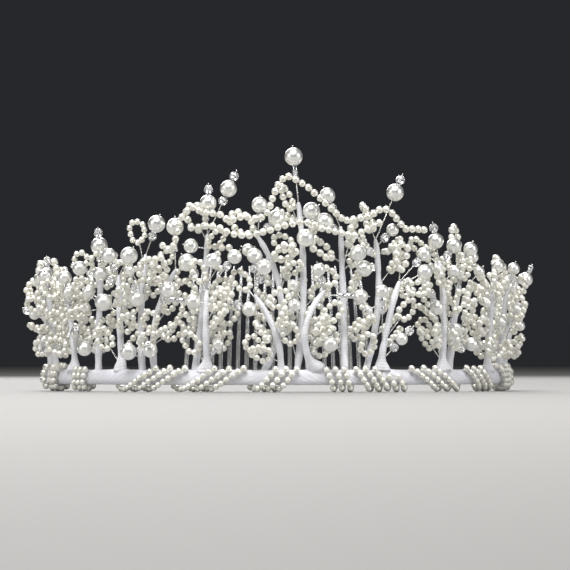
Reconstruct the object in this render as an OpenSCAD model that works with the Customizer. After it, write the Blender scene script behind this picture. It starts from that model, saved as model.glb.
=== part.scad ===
/* [Band] */
// Radius of the band's centre line
band_radius = 78; // [76:0.5:80]
// Height of the wrapped band
band_height = 5; // [4.6:0.1:5.4]
// Thickness of the wrapped band, from front to back
band_thickness = 3.6; // [3.2:0.1:4]
// Angle from the middle of the front to each end of the band
band_reach = 102; // [100:1:108]
// Space under the band, which the wound strings stand in
band_lift = 2.5; // [2.4:0.1:3]

/* [Stems] */
// Diameter of a wrapped stem where it swells into the band
stem_foot_d = 3.4; // [3:0.1:3.8]
// Diameter of a wrapped stem above its foot
stem_d = 2.4; // [2:0.1:2.6]
// Diameter of a wrapped stem at its tip
stem_tip_d = 1.8; // [1.4:0.1:2]
// Length over which a foot swells
foot_flare = 6; // [4:0.5:8]
// Diameter of the core wire's end that is bound into the band
pin_d = 1.1; // [0.8:0.1:1.2]
// Depth of that end in the band
pin_depth = 3; // [2:0.5:3.5]

/* [Wire and beads] */
// Diameter of the bare wire that carries the beads
wire_d = 0.5; // [0.4:0.05:0.6]
// Diameter of the hole through each bead
bore_d = 0.8; // [0.7:0.05:0.9]
// Size of a cut crystal bead
crystal_d = 3.1; // [2.8:0.1:3.3]
// Diameter of a bugle bead
bugle_d = 1.7; // [1.4:0.1:2]
// Length of a bugle bead
bugle_length = 2.6; // [2:0.1:3]
// Clear space between neighbouring beads
bead_gap = 0.12; // [0.1:0.01:0.2]

/* [Strings of small pearls] */
// Diameter of the strings that are wound round the band
wound_d = 2.2; // [2:0.1:2.4]
// Diameter of the garland strings
garland_d = 2.9; // [2.6:0.1:3.1]

/* [Comb] */
// Width of the comb
comb_width = 62; // [56:1:62]
// Number of its teeth
comb_teeth = 22; // [20:1:24]
// Height of its spine
spine_height = 4; // [3.5:0.1:4.5]
// Thickness of its spine
spine_thickness = 2.2; // [2:0.1:2.4]
// Diameter of a tooth
tooth_d = 1.4; // [1.2:0.1:1.6]
// Length of a tooth
tooth_length = 42; // [36:1:44]

/* [Hidden] */
$fn = 48;
tube_sides = 8;
stem_sides = 10;
stem_rings = 9;
ring_crowding = 1.4;
foot_rise = 1;
rise_fade = 8;
pin_room = 0.2;
wire_past = 0.7;
bead_skew = [0.3, 0.4, 0.5];
loop_bend = 1.05;
loop_side = 0.6;
wound_rings = 13;
wound_start = -150;
wound_corner = 0.7;
wound_room = 0.18;
row_room = 1.16;
band_half = band_thickness / 2;
end_inset = 0.1;
band_top = band_lift + band_height;
band_mid = band_lift + band_height / 2;
comb_curve = 200;
tooth_curve = 84;
tooth_lean = 14;
tooth_rings = 8;
tooth_taper = 0.35;
tooth_round = 0.3;
tooth_sunk = 1;
spine_base = band_lift + 0.2;
tie_d = 1.9;
tie_up = 3.2;
tie_gap = 0.1;
tie_shares = [-0.92, -0.4, 0.4, 0.92];

// Columns of a spray: where its stem stands, bends and ends, then what it carries
FOOT_AZ = 0;
FOOT_OUT = 1;
BEND_AZ = 2;
BEND_UP = 3;
BEND_OUT = 4;
TIP_AZ = 5;
TIP_UP = 6;
TIP_OUT = 7;
TWIGS = 8;
LOOPS = 9;
// Distances out of a foot: a front stem stands on the middle of the band, a back stem behind it
FRONT = 0;
BACK = -0.85;
// Columns of a twig: root on the stem from 0 to 1, the pearl's place and size, the beads on each side
ROOT = 0;
AZ = 1;
UP = 2;
OUT = 3;
SIZE = 4;
BELOW = 5;
ABOVE = 6;
// Column of a loop: how far it is turned about its own wire, after the same first five columns
TURN = 5;
// Kinds of bead beside a pearl
NONE = 0;
CUT = 1;
BUGLE = 2;
PAIR = 3;

// Every angle is in degrees from the middle of the front, up is above the band's lower edge
// and out is away from the band's centre line, in millimetres.
sprays = [
    [-96, FRONT, -96, 12, 1, -95, 24, 2,
        [[1, -96, 31, 3, 4, CUT, NONE], [0.6, -99, 19, 4, 3.6, NONE, NONE]],
        [[0.7, -91, 22, 2, 2.2, 20], [0.3, -100.4, 13, 2, 2.2, 60]]],
    [-86, FRONT, -86, 16, 1, -85, 29, 3,
        [[1, -86, 36, 4, 4.8, CUT, NONE], [0.7, -88, 24, 6, 3.7, NONE, CUT]],
        [[0.5, -81.5, 29, 3, 2.2, 70], [0.5, -82.5, 19, 5, 2.2, 10],
            [0.3, -90.5, 13.5, 3, 2.2, 50], [0.9, -90.5, 34, 0, 2.6, 20]]],
    [-76, FRONT, -76, 16, 1, -75, 31, 3,
        [[1, -70, 37, 6, 4.8, CUT, NONE], [0.6, -73, 15, 5, 3.4, NONE, CUT],
            [1, -76, 38, 3, 4.2, CUT, CUT]],
        [[0.8, -78.5, 27, 6.5, 2.2, 60], [0.6, -72, 24, 5, 2.2, 0],
            [0.9, -79.5, 38.5, 2, 2.8, 80], [0.3, -80.5, 12.5, 4, 2.2, 80],
            [0.5, -73, 27, -4.5, 2.4, 30]]],
    [-61, FRONT, -61, 16, 1, -62, 27, 2,
        [[1, -61, 36, 4, 4.8, PAIR, NONE], [0.9, -58, 31, 5, 4.1, CUT, NONE],
            [0.4, -56, 17, 4, 3.4, NONE, CUT]],
        [[0.6, -65, 22, 4, 2.2, 30], [0.8, -66, 31, 2, 2.2, 60], [0.7, -57.5, 26, 0, 2.2, 0],
            [0.3, -65, 13, 4.5, 2.2, 70], [0.5, -62.5, 20, -5, 2.2, 30],
            [0.95, -56.6, 41, 1.5, 2.2, 30]]],
    [-51, BACK, -51, 20, -1, -50, 39, -1,
        [[1, -48.5, 46.5, 1.5, 5.8, CUT, CUT], [0.9, -53.5, 39, 4.5, 4.8, CUT, NONE],
            [0.7, -50.5, 31, 4, 4.4, NONE, NONE], [0.2, -52, 12, 4, 4.9, NONE, NONE]],
        [[0.25, -47.4, 19.5, 0, 2.2, 70], [0.6, -53.5, 24, 5, 2.2, 50],
            [0.9, -45.5, 38.5, -4, 2.4, 30]]],
    [-41.5, FRONT, -41.5, 18, 1, -41.3, 36, 2,
        [[1, -42.8, 43, 4.5, 5.1, CUT, NONE], [0.9, -45.3, 37, 5, 4.8, CUT, NONE],
            [0.6, -45, 27.5, 4, 5.8, NONE, NONE], [1, -38, 43, 2, 5.8, NONE, NONE]],
        [[0.03, -45.1, 15.5, 3.6, 2.2, 45], [0.5, -38.5, 30, 4.5, 2.2, 75],
            [0.3, -38, 20.5, 3.5, 2.2, 30], [0.6, -42, 29, -5, 2.4, 20]]],
    [-35.5, BACK, -35.5, 20, 0, -34.6, 43, -1,
        [[1, -30.8, 53.5, 0, 5.8, CUT, NONE], [0.7, -36.5, 38, 4, 3.1, NONE, NONE],
            [0.4, -34.5, 28.5, 4, 5.1, NONE, CUT], [0.1, -36.8, 11, 4.5, 5.6, NONE, NONE]],
        [[0.6, -32, 38, 3, 2.4, 20], [0.9, -37.8, 51, -2, 2.2, 30],
            [0.3, -31.3, 21.5, 3, 2.2, 0]]],
    [-31.8, BACK, -31.5, 24, -2, -25.5, 38, 0,
        [[1, -26.2, 52.5, -1.5, 5.8, PAIR, NONE], [0.5, -26, 31.5, 4, 5.4, CUT, NONE],
            [0.1, -30.6, 11.5, 4.5, 4.9, NONE, BUGLE]],
        [[0.8, -28.5, 38.5, 4, 2.4, 50], [0.9, -22.9, 31.8, -1, 2.2, 10]]],
    [-20.5, BACK, -18.5, 36, -3, -17.9, 49.5, -3,
        [[1, -17.3, 60.2, -1.5, 5.6, NONE, CUT], [1, -12.4, 65, -3.5, 5.6, CUT, CUT],
            [0.9, -21.1, 46, 1, 4.8, NONE, NONE], [0.6, -22.1, 40.5, 1, 5.8, CUT, NONE]],
        [[0.95, -21, 55.5, -3, 2.6, 20], [0.6, -13.6, 42, -3, 2.4, 30]]],
    [-17, FRONT, -16.9, 12, 2, -16.6, 31, 3,
        [[0.85, -19.4, 27.5, 5, 4.9, NONE, PAIR], [1, -14.7, 41, 4, 5.1, NONE, NONE],
            [1, -9.9, 42.3, 3, 4.8, CUT, NONE], [0.1, -13.6, 13.5, 4, 3.7, BUGLE, NONE]],
        [[0.03, -20.6, 14.2, 3, 2.2, 0], [0.6, -12.9, 28.5, 2.5, 2.2, 15],
            [0.95, -18.6, 37.5, 3, 2.2, 50]]],
    [-3, BACK, 0.5, 33, -3, -4.8, 49, -3,
        [[1, -4.3, 59.5, -2, 5.3, CUT, NONE], [1, 0, 55, 0, 5.8, CUT, NONE],
            [0.8, -7.3, 44.6, -3.2, 4.2, CUT, NONE]],
        [[0.8, 1.9, 43.5, 1.5, 2.6, 0], [0.95, -9, 53.5, -3.5, 2.6, 20]]],
    [1, BACK, 0.6, 12, 1, -5.1, 29.5, 3,
        [[1, -5.3, 42.6, 1.5, 5.1, CUT, NONE], [1, -2.9, 38.8, 5.2, 5.1, CUT, NONE],
            [0.7, -6.4, 25, 3.5, 4.8, NONE, CUT]],
        [[0.1, -3.8, 10.5, 3.3, 2.2, 10], [0.8, 0.3, 28.5, 2, 2.2, 20],
            [0.8, -8.6, 34.5, 0.5, 2.2, 10]]],
    [5, BACK, 6.6, 34, -1.6, 5.4, 60, -2,
        [[1, 4.2, 75.5, -2, 6, PAIR, NONE], [0.9, 8.6, 57.5, -1.5, 5.8, NONE, NONE],
            [0.7, 6.7, 48.5, 3, 5.8, NONE, NONE], [0.4, 3.8, 33, 2, 3.6, NONE, NONE],
            [0.3, 4.2, 26.3, 3, 4.2, NONE, NONE]],
        [[0.03, 3.1, 17, 2.5, 2.2, 0], [0.85, 2.6, 62, -3, 2.4, 60]]],
    [9, FRONT, 6.8, 12, 3, 11.1, 31, 3,
        [[0.45, 12.3, 13.5, 5, 5.1, NONE, NONE], [0.95, 19.8, 29.3, 4, 4.6, PAIR, NONE],
            [1, 9.6, 38, 5, 4.2, CUT, NONE]],
        [[0.4, 13.2, 24, 3, 2.2, 10]]],
    [16.9, BACK, 17, 28, -3, 16.1, 52, -2,
        [[1, 12.7, 62.6, -2, 5.3, CUT, NONE], [0.95, 11.6, 54, 1, 5.6, CUT, NONE],
            [0.8, 19.6, 43.5, 2, 5.4, NONE, CUT]],
        [[0.75, 11.3, 45, -2, 2.6, 60], [0.7, 19.9, 50.5, -5, 2.6, 60],
            [0.6, 12.3, 36, -1.5, 2.4, 40]]],
    [22.5, BACK, 26.6, 40, -3, 25.9, 48, -3,
        [[1, 31.2, 64, -2, 5.8, NONE, CUT], [0.8, 21.5, 38.5, 1, 5.4, CUT, NONE],
            [0.5, 22, 24.5, 2, 3.6, NONE, NONE], [0.95, 30.2, 51.5, -1.5, 4.2, CUT, NONE]],
        [[0.02, 21.8, 13.5, 3, 2.2, 0], [1, 24, 55.5, -4, 2.6, 80]]],
    [26, FRONT, 27, 18, 2, 30, 34, 3,
        [[1, 37.2, 43.5, 3, 4.8, CUT, NONE], [0.95, 35.6, 37.5, 6.5, 5.1, NONE, NONE],
            [0.2, 24.8, 31, 5, 4.4, PAIR, NONE], [0.1, 30.3, 15.2, 4, 4.1, CUT, CUT]],
        [[0.35, 32.2, 25, 3, 2.2, 0], [1, 31.1, 42.5, 2, 2.6, 20]]],
    [44.9, FRONT, 45, 22, 1, 42.6, 41, 2,
        [[1, 42.2, 48, 1, 5.3, NONE, CUT], [0.95, 47, 46.5, 3, 5.1, CUT, NONE],
            [0.8, 45.7, 38, 5, 3.9, NONE, NONE], [0.4, 40.6, 25.7, 4, 4.9, NONE, PAIR],
            [0.3, 47.3, 19, 4, 3.1, NONE, NONE]],
        [[0.35, 47, 28, 6, 2.2, 80], [0.05, 41.2, 16.5, 3.5, 2.2, 40],
            [0.5, 39.8, 33.5, 0, 2.4, 30], [0.4, 43.5, 24, -4.5, 2.2, 30]]],
    [48.6, BACK, 49.2, 18, 0, 51.8, 34, 0,
        [[1, 54.5, 45.5, 2, 4.8, NONE, NONE], [1, 57.5, 43, 0, 4.4, CUT, NONE],
            [0.8, 55, 38, 5, 3.7, NONE, NONE], [0.2, 53, 13.5, 4, 4.6, CUT, NONE]],
        [[0.25, 53.2, 25, 3, 2.2, 10], [0.9, 49.5, 40, 3, 2.2, 60], [0.95, 52, 49, -2, 2.4, 10],
            [0.5, 56.8, 31, -1, 2.2, 30]]],
    [66, FRONT, 65.5, 16, 1, 64.5, 32, 3,
        [[1, 64.5, 40, 5, 4.4, CUT, NONE], [0.7, 60, 27.5, 4, 3.2, NONE, NONE],
            [0.4, 67, 21, 5, 3.1, NONE, NONE]],
        [[0.5, 61, 20, 2, 2.2, 20], [0.9, 60.5, 37, 1, 2.2, 40], [0.9, 68.8, 32, 2, 2.2, 70],
            [0.2, 61.5, 12.5, 3.5, 2.2, 60], [0.6, 66, 22, -5, 2.2, 30]]],
    [77, FRONT, 76.5, 16, 1, 76, 32, 3,
        [[1, 77.5, 39.5, 5, 4.2, CUT, NONE], [0.9, 72.6, 33, 6, 3.2, NONE, CUT],
            [0.5, 79.5, 25.5, 6, 3.1, NONE, NONE]],
        [[0.5, 72.2, 20.5, 2.5, 2.2, 20], [0.9, 71, 40, 2, 2.2, 60],
            [0.2, 75.4, 26, 7, 2.2, 80], [0.2, 72.8, 12, 4, 2.2, 70], [0.6, 74, 30, -4, 2.4, 30]]],
    [87, FRONT, 86.5, 16, 2, 86, 29, 5,
        [[1, 85.5, 36, 8, 4.9, NONE, BUGLE], [0.5, 89.2, 20, 6, 3.6, NONE, NONE]],
        [[0.5, 82.6, 20.5, 5, 2.2, 20], [0.9, 81.5, 31, 3, 2.2, 50], [0.8, 91, 31, 3, 2.2, 10],
            [0.2, 82.6, 12, 4, 2.2, 80]]],
    [97, FRONT, 97, 12, 1, 96, 24, 2,
        [[1, 97, 31, 3, 4, CUT, NONE]],
        [[0.4, 92.6, 20.5, 3, 2.2, 70], [0.3, 101.2, 13.5, 2.5, 2.2, 60]]]
];

// Columns of a wound string: where it passes under and over the band, its number of rows, and the
// angle round the band's section where it ends, 90 at the top
UNDER = 0;
OVER = 1;
ROWS = 2;
END = 3;
windings = [
    [-100, -99, 1, 150], [-92.9, -90.4, 2, 150], [-84, -81.5, 2, 150], [-74.5, -72, 3, 150],
    [-58.6, -56.6, 3, 58], [-41, -26.8, 2, 58], [-24, -12, 2, 58], [-5.2, 1.3, 3, 58],
    [14, 11, 2, 58], [23.3, 17.5, 3, 58], [30.5, 24.7, 1, 10], [43.5, 31, 2, 58], [60, 50, 2, 58],
    [76, 70, 2, 150], [85, 81.5, 2, 150], [94, 91.5, 2, 150], [101, 100, 1, 150]
];

// Columns of a garland route, in the same measures as the sprays
garland_upper = [
    [-29, 47, 3], [-25.5, 44, 3.2], [-24, 50, 3], [-23.2, 56, 2], [-20.4, 59.5, 1.5],
    [-18, 56.5, 1.5], [-14.2, 57, 1.5], [-11.4, 54, 1.5], [-8, 56, 1.5], [-5.4, 54.5, 2],
    [-2.2, 56, 4], [-0.6, 63, 2.5], [0.7, 67.5, 1.5], [2.6, 69.4, 1.5], [5.2, 67.5, 2],
    [8, 64.5, 3], [12, 59, 4], [16.2, 54, 2.5], [19.3, 55, 1.5], [23, 56, 1.5], [26.8, 59, 1.5],
    [30, 55.5, 1.5], [32, 51.5, 1.8], [37.2, 52, 1.8], [39.4, 51.5, 1.6]
];
garland_lower = [
    [-21.5, 51.5, 3.6], [-17.5, 52.3, 3.4], [-14.5, 52.6, 4], [-10.4, 49.8, 3], [-6, 49, 2.5],
    [-3, 50.5, 4.2], [3, 53, 3.8], [6.7, 54, 3.4], [10.5, 51.5, 5.2], [12.3, 51, 5.2],
    [14.6, 50.3, 3.6], [18.7, 49, 2.6], [22.5, 52, 2.4], [26.5, 54.6, 1.6]
];

// Sprays of each sector of the tiara, from the first to the last
SECTORS = [
    ["left_side", 0, 2], ["left_temple", 3, 5], ["left_front", 6, 9], ["centre", 10, 13],
    ["right_front", 14, 16], ["right_temple", 17, 19], ["right_side", 20, 22]
];

function stem_name(i) = str("stem_", i < 9 ? "0" : "", i + 1);

// Point at an angle round the front, a height above the band's lower edge and a distance out
function place(az, up, out) =
    [(band_radius + out) * sin(az), -(band_radius + out) * cos(az), band_lift + up];
function unit(v) = v / norm(v);
function mix(a, b, t) = a + (b - a) * t;

// Points of a spray's stem: a parabola from its foot through its bend to its tip
function stem_foot(s) = place(s[FOOT_AZ], band_height, s[FOOT_OUT]);
function stem_bend(s) = place(s[BEND_AZ], s[BEND_UP], s[BEND_OUT]);
function stem_tip(s) = place(s[TIP_AZ], s[TIP_UP], s[TIP_OUT]);
function bend_share(s) = (s[BEND_UP] - band_height) / (s[TIP_UP] - band_height);
function stem_control(s) =
    let (k = bend_share(s))
    (stem_bend(s) - (1 - k) ^ 2 * stem_foot(s) - k ^ 2 * stem_tip(s)) / (2 * k * (1 - k));
function stem_point(s, t) =
    (1 - t) ^ 2 * stem_foot(s) + 2 * t * (1 - t) * stem_control(s) + t ^ 2 * stem_tip(s);
// Radius of a stem: an even taper, and on a front stem a swelling that fades out above the foot
function stem_radius(s, t) =
    let (rise = t * (s[TIP_UP] - band_height))
    let (swell = s[FOOT_OUT] == BACK ? 0 : max(0, 1 - rise / foot_flare))
    (mix(stem_d, stem_tip_d, t) + (stem_foot_d - stem_d) * swell ^ 2) / 2;

// Beads on a twig: the pearl, and what is threaded below and above it
function twig_root(s, w) = stem_point(s, w[ROOT]);
function twig_pearl(w) = place(w[AZ], w[UP], w[OUT]);
function twig_line(s, w) = unit(twig_pearl(w) - twig_root(s, w));
function kind_length(kind) = kind == CUT ? crystal_d : bugle_length;
function kind_count(kind) = kind == NONE ? 0 : kind == PAIR ? 2 : 1;
function stack_length(kind) = kind_count(kind) * (kind_length(kind) + bead_gap);
function bead_offset(w, kind, i) =
    w[SIZE] / 2 + bead_gap + (i + 0.5) * kind_length(kind) + i * bead_gap;
function twig_end(s, w) =
    twig_pearl(w) + twig_line(s, w) * (w[SIZE] / 2 + stack_length(w[ABOVE]) + wire_past);

// A loop of small pearls: an oval ring on the end of its own wire
function loop_round(w) = loop_bend * w[SIZE];
function loop_straight(w) = loop_side * w[SIZE];
function loop_bottom(s, w) =
    twig_pearl(w) - twig_line(s, w) * (loop_round(w) + loop_straight(w) + w[SIZE] / 2 + bead_gap);

// Frames carried along a path without twist, from a first direction across it
function tangent(path, i) = unit(path[min(i + 1, len(path) - 1)] - path[max(i - 1, 0)]);
function across(v, t) = unit(v - (v * t) * t);
function carried(path, start) =
    [for (i = 0, n = across(start, tangent(path, 0)); i < len(path);
        i = i + 1, n = across(n, tangent(path, min(i, len(path) - 1)))) n];

// Closed tube along a path, with a radius for each of its points
module tube(path, radii, start, sides) {
    normals = carried(path, start);
    last = len(path) - 1;
    points = [for (i = [0:last], j = [0:sides - 1])
        let (t = tangent(path, i), n = normals[i], b = cross(t, n), a = j * 360 / sides)
        path[i] + radii[i] * (n * cos(a) + b * sin(a))];
    walls = [for (i = [0:last - 1], j = [0:sides - 1])
        let (k = (j + 1) % sides)
        [i * sides + j, (i + 1) * sides + j, (i + 1) * sides + k, i * sides + k]];
    ends = [[for (j = [0:sides - 1]) j], [for (j = [sides - 1:-1:0]) last * sides + j]];
    polyhedron(points, concat(walls, ends));
}

// Turns what it holds so that its Z axis follows a line and its X axis leans to a side
module aligned(origin, line, side) {
    x = across(side, line);
    y = cross(line, x);
    multmatrix([
        [x[0], y[0], line[0], origin[0]],
        [x[1], y[1], line[1], origin[1]],
        [x[2], y[2], line[2], origin[2]],
        [0, 0, 0, 1]
    ]) children();
}

module bead_bore(length) {
    cylinder(d = bore_d, h = length + 1, center = true);
}

module pearl(size) {
    difference() {
        sphere(d = size);
        bead_bore(size);
    }
}

// Crystal bead cut from three eight-sided bars: six tables and twelve facets between them
module crystal() {
    bar_d = crystal_d / cos(22.5);
    difference() {
        intersection() {
            rotate([0, 0, 22.5]) cylinder(d = bar_d, h = crystal_d, center = true, $fn = 8);
            rotate([90, 0, 0]) rotate([0, 0, 22.5])
                cylinder(d = bar_d, h = crystal_d, center = true, $fn = 8);
            rotate([0, 90, 0]) rotate([0, 0, 22.5])
                cylinder(d = bar_d, h = crystal_d, center = true, $fn = 8);
        }
        bead_bore(crystal_d);
    }
}

module bugle() {
    difference() {
        cylinder(d = bugle_d, h = bugle_length, center = true);
        bead_bore(bugle_length);
    }
}

module small_bead(kind) {
    if (kind == CUT) crystal();
    else bugle();
}

// Half of an oval ring's two bends, and its straight sides
module oval_ring(w) {
    r = loop_round(w);
    s = loop_straight(w);
    for (end = [0, 180]) rotate([0, 0, end]) translate([0, s, 0])
        rotate_extrude(angle = 180) translate([r, 0]) circle(d = w[SIZE]);
    for (side = [-r, r]) translate([side, 0, 0]) rotate([90, 0, 0])
        cylinder(d = w[SIZE], h = 2 * s, center = true);
}

module band() {
    color("white") difference() {
        union() {
            rotate([0, 0, -90 - band_reach]) rotate_extrude(angle = 2 * band_reach)
                translate([band_radius, 0]) band_section(0);
            for (end = [-1, 1]) translate(place(end * band_reach, -band_lift, 0)) rotate_extrude()
                intersection() {
                    band_section(end_inset);
                    square([band_thickness, 2 * band_top]);
                }
        }
        for (s = sprays) translate(stem_foot(s)) translate([0, 0, -pin_depth - pin_room])
            cylinder(d = pin_d + pin_room, h = pin_depth + 1);
    }
}

// Section of the band, or of its rounded ends a little inside it: flat faces with faceted corners
module band_section(inset) {
    round_r = 1.2;
    steps = 3;
    corners = [[1, 1, 0], [-1, 1, 90], [-1, -1, 180], [1, -1, 270]];
    polygon([for (c = corners, i = [0:steps])
        let (a = c[2] + i * 90 / steps)
        [c[0] * (band_half - inset - round_r) + round_r * cos(a),
            band_mid + c[1] * (band_height / 2 - inset - round_r) + round_r * sin(a)]]);
}

// Floss-wrapped stem with its bound end below and the bare wires that leave it above
module stem(s) {
    shares = [for (i = [0:stem_rings - 1]) (i / (stem_rings - 1)) ^ ring_crowding];
    // The lowest two rings stand upright over the foot, so that a leaning stem meets the band square.
    path = concat([stem_foot(s) + [0, 0, bead_gap]],
        [for (t = shares) stem_point(s, t) + [0, 0, (1 - t) ^ rise_fade * foot_rise]]);
    radii = [for (t = concat([0], shares)) stem_radius(s, t)];
    color("whitesmoke") union() {
        tube(path, radii, place(s[FOOT_AZ], 0, 0), stem_sides);
        translate(stem_foot(s) - [0, 0, pin_depth]) cylinder(d = pin_d, h = pin_depth + 1);
        for (w = s[TWIGS]) wire(twig_root(s, w), twig_end(s, w));
        for (w = s[LOOPS]) wire(twig_root(s, w), loop_bottom(s, w));
    }
}

module wire(from, to) {
    line = unit(to - from);
    side = abs(line[2]) > 0.9 ? [1, 0, 0] : [0, 0, 1];
    aligned(from, line, side) cylinder(d = wire_d, h = norm(to - from));
}

module pearls(first, last) {
    color("ivory") for (i = [first:last], w = sprays[i][TWIGS])
        aligned(twig_pearl(w), twig_line(sprays[i], w), bead_skew) pearl(w[SIZE]);
}

module crystals(first, last) {
    color("lightcyan") for (i = [first:last], w = sprays[i][TWIGS], side = [-1, 1]) {
        kind = side < 0 ? w[BELOW] : w[ABOVE];
        line = twig_line(sprays[i], w);
        if (kind != NONE) for (k = [0:kind_count(kind) - 1])
            aligned(twig_pearl(w) + side * bead_offset(w, kind, k) * line, line, bead_skew)
                small_bead(kind);
    }
}

module loops(first, last) {
    color("linen") for (i = [first:last], w = sprays[i][LOOPS]) {
        line = twig_line(sprays[i], w);
        ring_side = across(place(w[AZ] + 90, 0, 0) - [0, 0, band_lift], line);
        aligned(twig_pearl(w), line, ring_side) rotate([0, 0, w[TURN]]) rotate([90, 0, 0]) oval_ring(w);
    }
}

// Oval that a string is wound along, 0 at the band's outer face and 90 over its top. It is squared
// off enough to clear the band's corners.
function squared(v) = sign(v) * abs(v) ^ wound_corner;
function wound_oval(a) =
    [(band_half + wound_d / 2 + wound_room) * squared(cos(a)),
        (band_height / 2 + wound_d / 2 + wound_room) * squared(sin(a))];
// Length of that oval from its outer face to an angle up to 90, and to any angle, as a share of it
function quarter(a) =
    a <= 0 ? 0 : quarter(a - 5) + norm(wound_oval(a) - wound_oval(max(0, a - 5)));
function oval_share(a) =
    a < 0 ? -oval_share(-a) : a > 90 ? 2 - oval_share(180 - a) : quarter(a) / quarter(90);
function wound_point(az, a) =
    let (p = wound_oval(a)) place(az, band_height / 2 + p[1], p[0]);
function wound_az(w, a) = mix(w[UNDER], w[OVER], oval_share(a) / 2 + 0.5);
function wound_pitch(w) =
    let (rise = PI * (band_height / 2 + wound_d / 2))
    let (run = (w[OVER] - w[UNDER]) * band_radius * PI / 180)
    row_room * (wound_d + bead_gap) * norm([rise, run]) / rise * 180 / (band_radius * PI);

module wound_strings(side) {
    color("linen") for (w = windings) if (side * (w[UNDER] + w[OVER]) > 0)
        for (row = [0:w[ROWS] - 1]) {
            path = [for (k = [0:wound_rings - 1])
                let (a = mix(wound_start, w[END], k / (wound_rings - 1)))
                wound_point(wound_az(w, a) + row * wound_pitch(w), a)];
            tube(path, [for (p = path) wound_d / 2], [0, 0, 1], tube_sides);
        }
}

module garland(route) {
    path = [for (p = route) place(p[0], p[1], p[2])];
    color("linen") tube(path, [for (p = path) garland_d / 2], [0, 0, 1], tube_sides);
}

// Middle of the comb's spine, which is a flatter arc than the band
comb_clear = band_radius - band_half - wound_d - 2 * bead_gap - spine_thickness / 2;
comb_turn = asin(comb_width / 2 / comb_curve);
comb_y = -sqrt(comb_clear ^ 2 - (comb_width / 2) ^ 2) + comb_curve * cos(comb_turn);

module comb() {
    pitch = 2 * comb_turn * (1 - tooth_d / comb_width) / (comb_teeth - 1);
    sweep = tooth_length / tooth_curve * 180 / PI;
    color("aliceblue") translate([0, comb_y, 0]) union() {
        rotate([0, 0, -90 - comb_turn]) rotate_extrude(angle = 2 * comb_turn)
            translate([comb_curve - spine_thickness / 2, spine_base]) square([spine_thickness, spine_height]);
        for (i = [0:comb_teeth - 1]) rotate([0, 0, (i - (comb_teeth - 1) / 2) * pitch])
            translate([0, -comb_curve, spine_base + spine_height - tooth_sunk]) tooth(sweep);
    }
}

// Point of a tooth's middle line at an angle along its bend, and the tooth that tapers along it
function tooth_point(a) =
    tooth_curve * [0, cos(tooth_lean) - cos(tooth_lean + a), sin(tooth_lean + a) - sin(tooth_lean)];

module tooth(sweep) {
    shares = [for (k = [0:tooth_rings - 1]) k / (tooth_rings - 1)];
    radii = [for (u = shares) tooth_d / 2 * (1 - tooth_taper * u - tooth_round * u ^ 8)];
    tube([for (u = shares) tooth_point(u * sweep)], radii, [1, 0, 0], tube_sides);
}

// Lashings of floss between the comb's spine and the inside of the band
module comb_ties() {
    color("white") for (share = tie_shares) {
        turn = share * comb_turn;
        line = [sin(turn), -cos(turn), 0];
        from = [0, comb_y, band_lift + tie_up] + (comb_curve + spine_thickness / 2 + tie_gap) * line;
        flat = [from[0], from[1], 0];
        inside = band_radius - band_half - tie_gap;
        reach = sqrt((flat * line) ^ 2 - flat * flat + inside ^ 2) - flat * line;
        slant = asin(norm(cross(flat, line)) / inside);
        aligned(from, line, [0, 0, 1]) cylinder(d = tie_d, h = reach - tie_d / 2 * tan(slant));
    }
}

band();
comb();
comb_ties();
garland(garland_upper);
garland(garland_lower);
wound_strings(-1);  // wound_left
wound_strings(1);  // wound_right
for (i = [0:len(sprays) - 1])
    stem(sprays[i]);
for (s = SECTORS) {
    pearls(s[1], s[2]);
    crystals(s[1], s[2]);
    loops(s[1], s[2]);
}
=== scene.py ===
"""Looks of a tall tiara: floss-wrapped band and stems, strung pearls, cut crystals and a clear comb."""

from __future__ import annotations

import logging
from dataclasses import dataclass, field
from enum import Enum

import bpy
import numpy as np
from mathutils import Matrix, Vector

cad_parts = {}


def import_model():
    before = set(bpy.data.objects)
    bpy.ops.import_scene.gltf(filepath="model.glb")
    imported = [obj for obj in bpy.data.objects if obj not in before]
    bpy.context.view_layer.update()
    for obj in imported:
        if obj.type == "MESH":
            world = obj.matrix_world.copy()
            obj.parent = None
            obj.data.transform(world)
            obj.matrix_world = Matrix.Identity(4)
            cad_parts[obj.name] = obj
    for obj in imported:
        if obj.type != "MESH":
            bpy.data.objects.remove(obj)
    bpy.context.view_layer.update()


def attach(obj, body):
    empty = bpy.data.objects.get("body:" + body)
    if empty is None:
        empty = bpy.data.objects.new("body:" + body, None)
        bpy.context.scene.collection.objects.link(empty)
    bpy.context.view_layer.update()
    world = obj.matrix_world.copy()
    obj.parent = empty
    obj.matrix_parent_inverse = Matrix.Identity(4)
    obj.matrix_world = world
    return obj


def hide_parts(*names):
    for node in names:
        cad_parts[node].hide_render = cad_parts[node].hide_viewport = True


LOG = logging.getLogger("tiara")
BODY = "root"
SEED = 7
MM = 0.001
UP = np.array([0.0, 0.0, 1.0])
LEVEL = 1 - UP
SKEW = np.array([0.3, 0.4, 0.5])


class Bead(Enum):
    """What is threaded beside a large pearl."""

    NONE = "none"
    CUT = "cut crystal"
    BUGLE = "one bugle bead"
    PAIR = "two bugle beads"


class Slot(Enum):
    """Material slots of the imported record."""

    FLOSS = "floss"
    LARGE_PEARL = "large_pearl"
    SMALL_PEARL = "small_pearl"
    CRYSTAL = "cut_crystal"
    PLASTIC = "clear_plastic"
    WIRE = "silver_wire"


NONE, CUT, BUGLE, PAIR = Bead
FRONT = 0.0
BACK = -0.85


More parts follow.
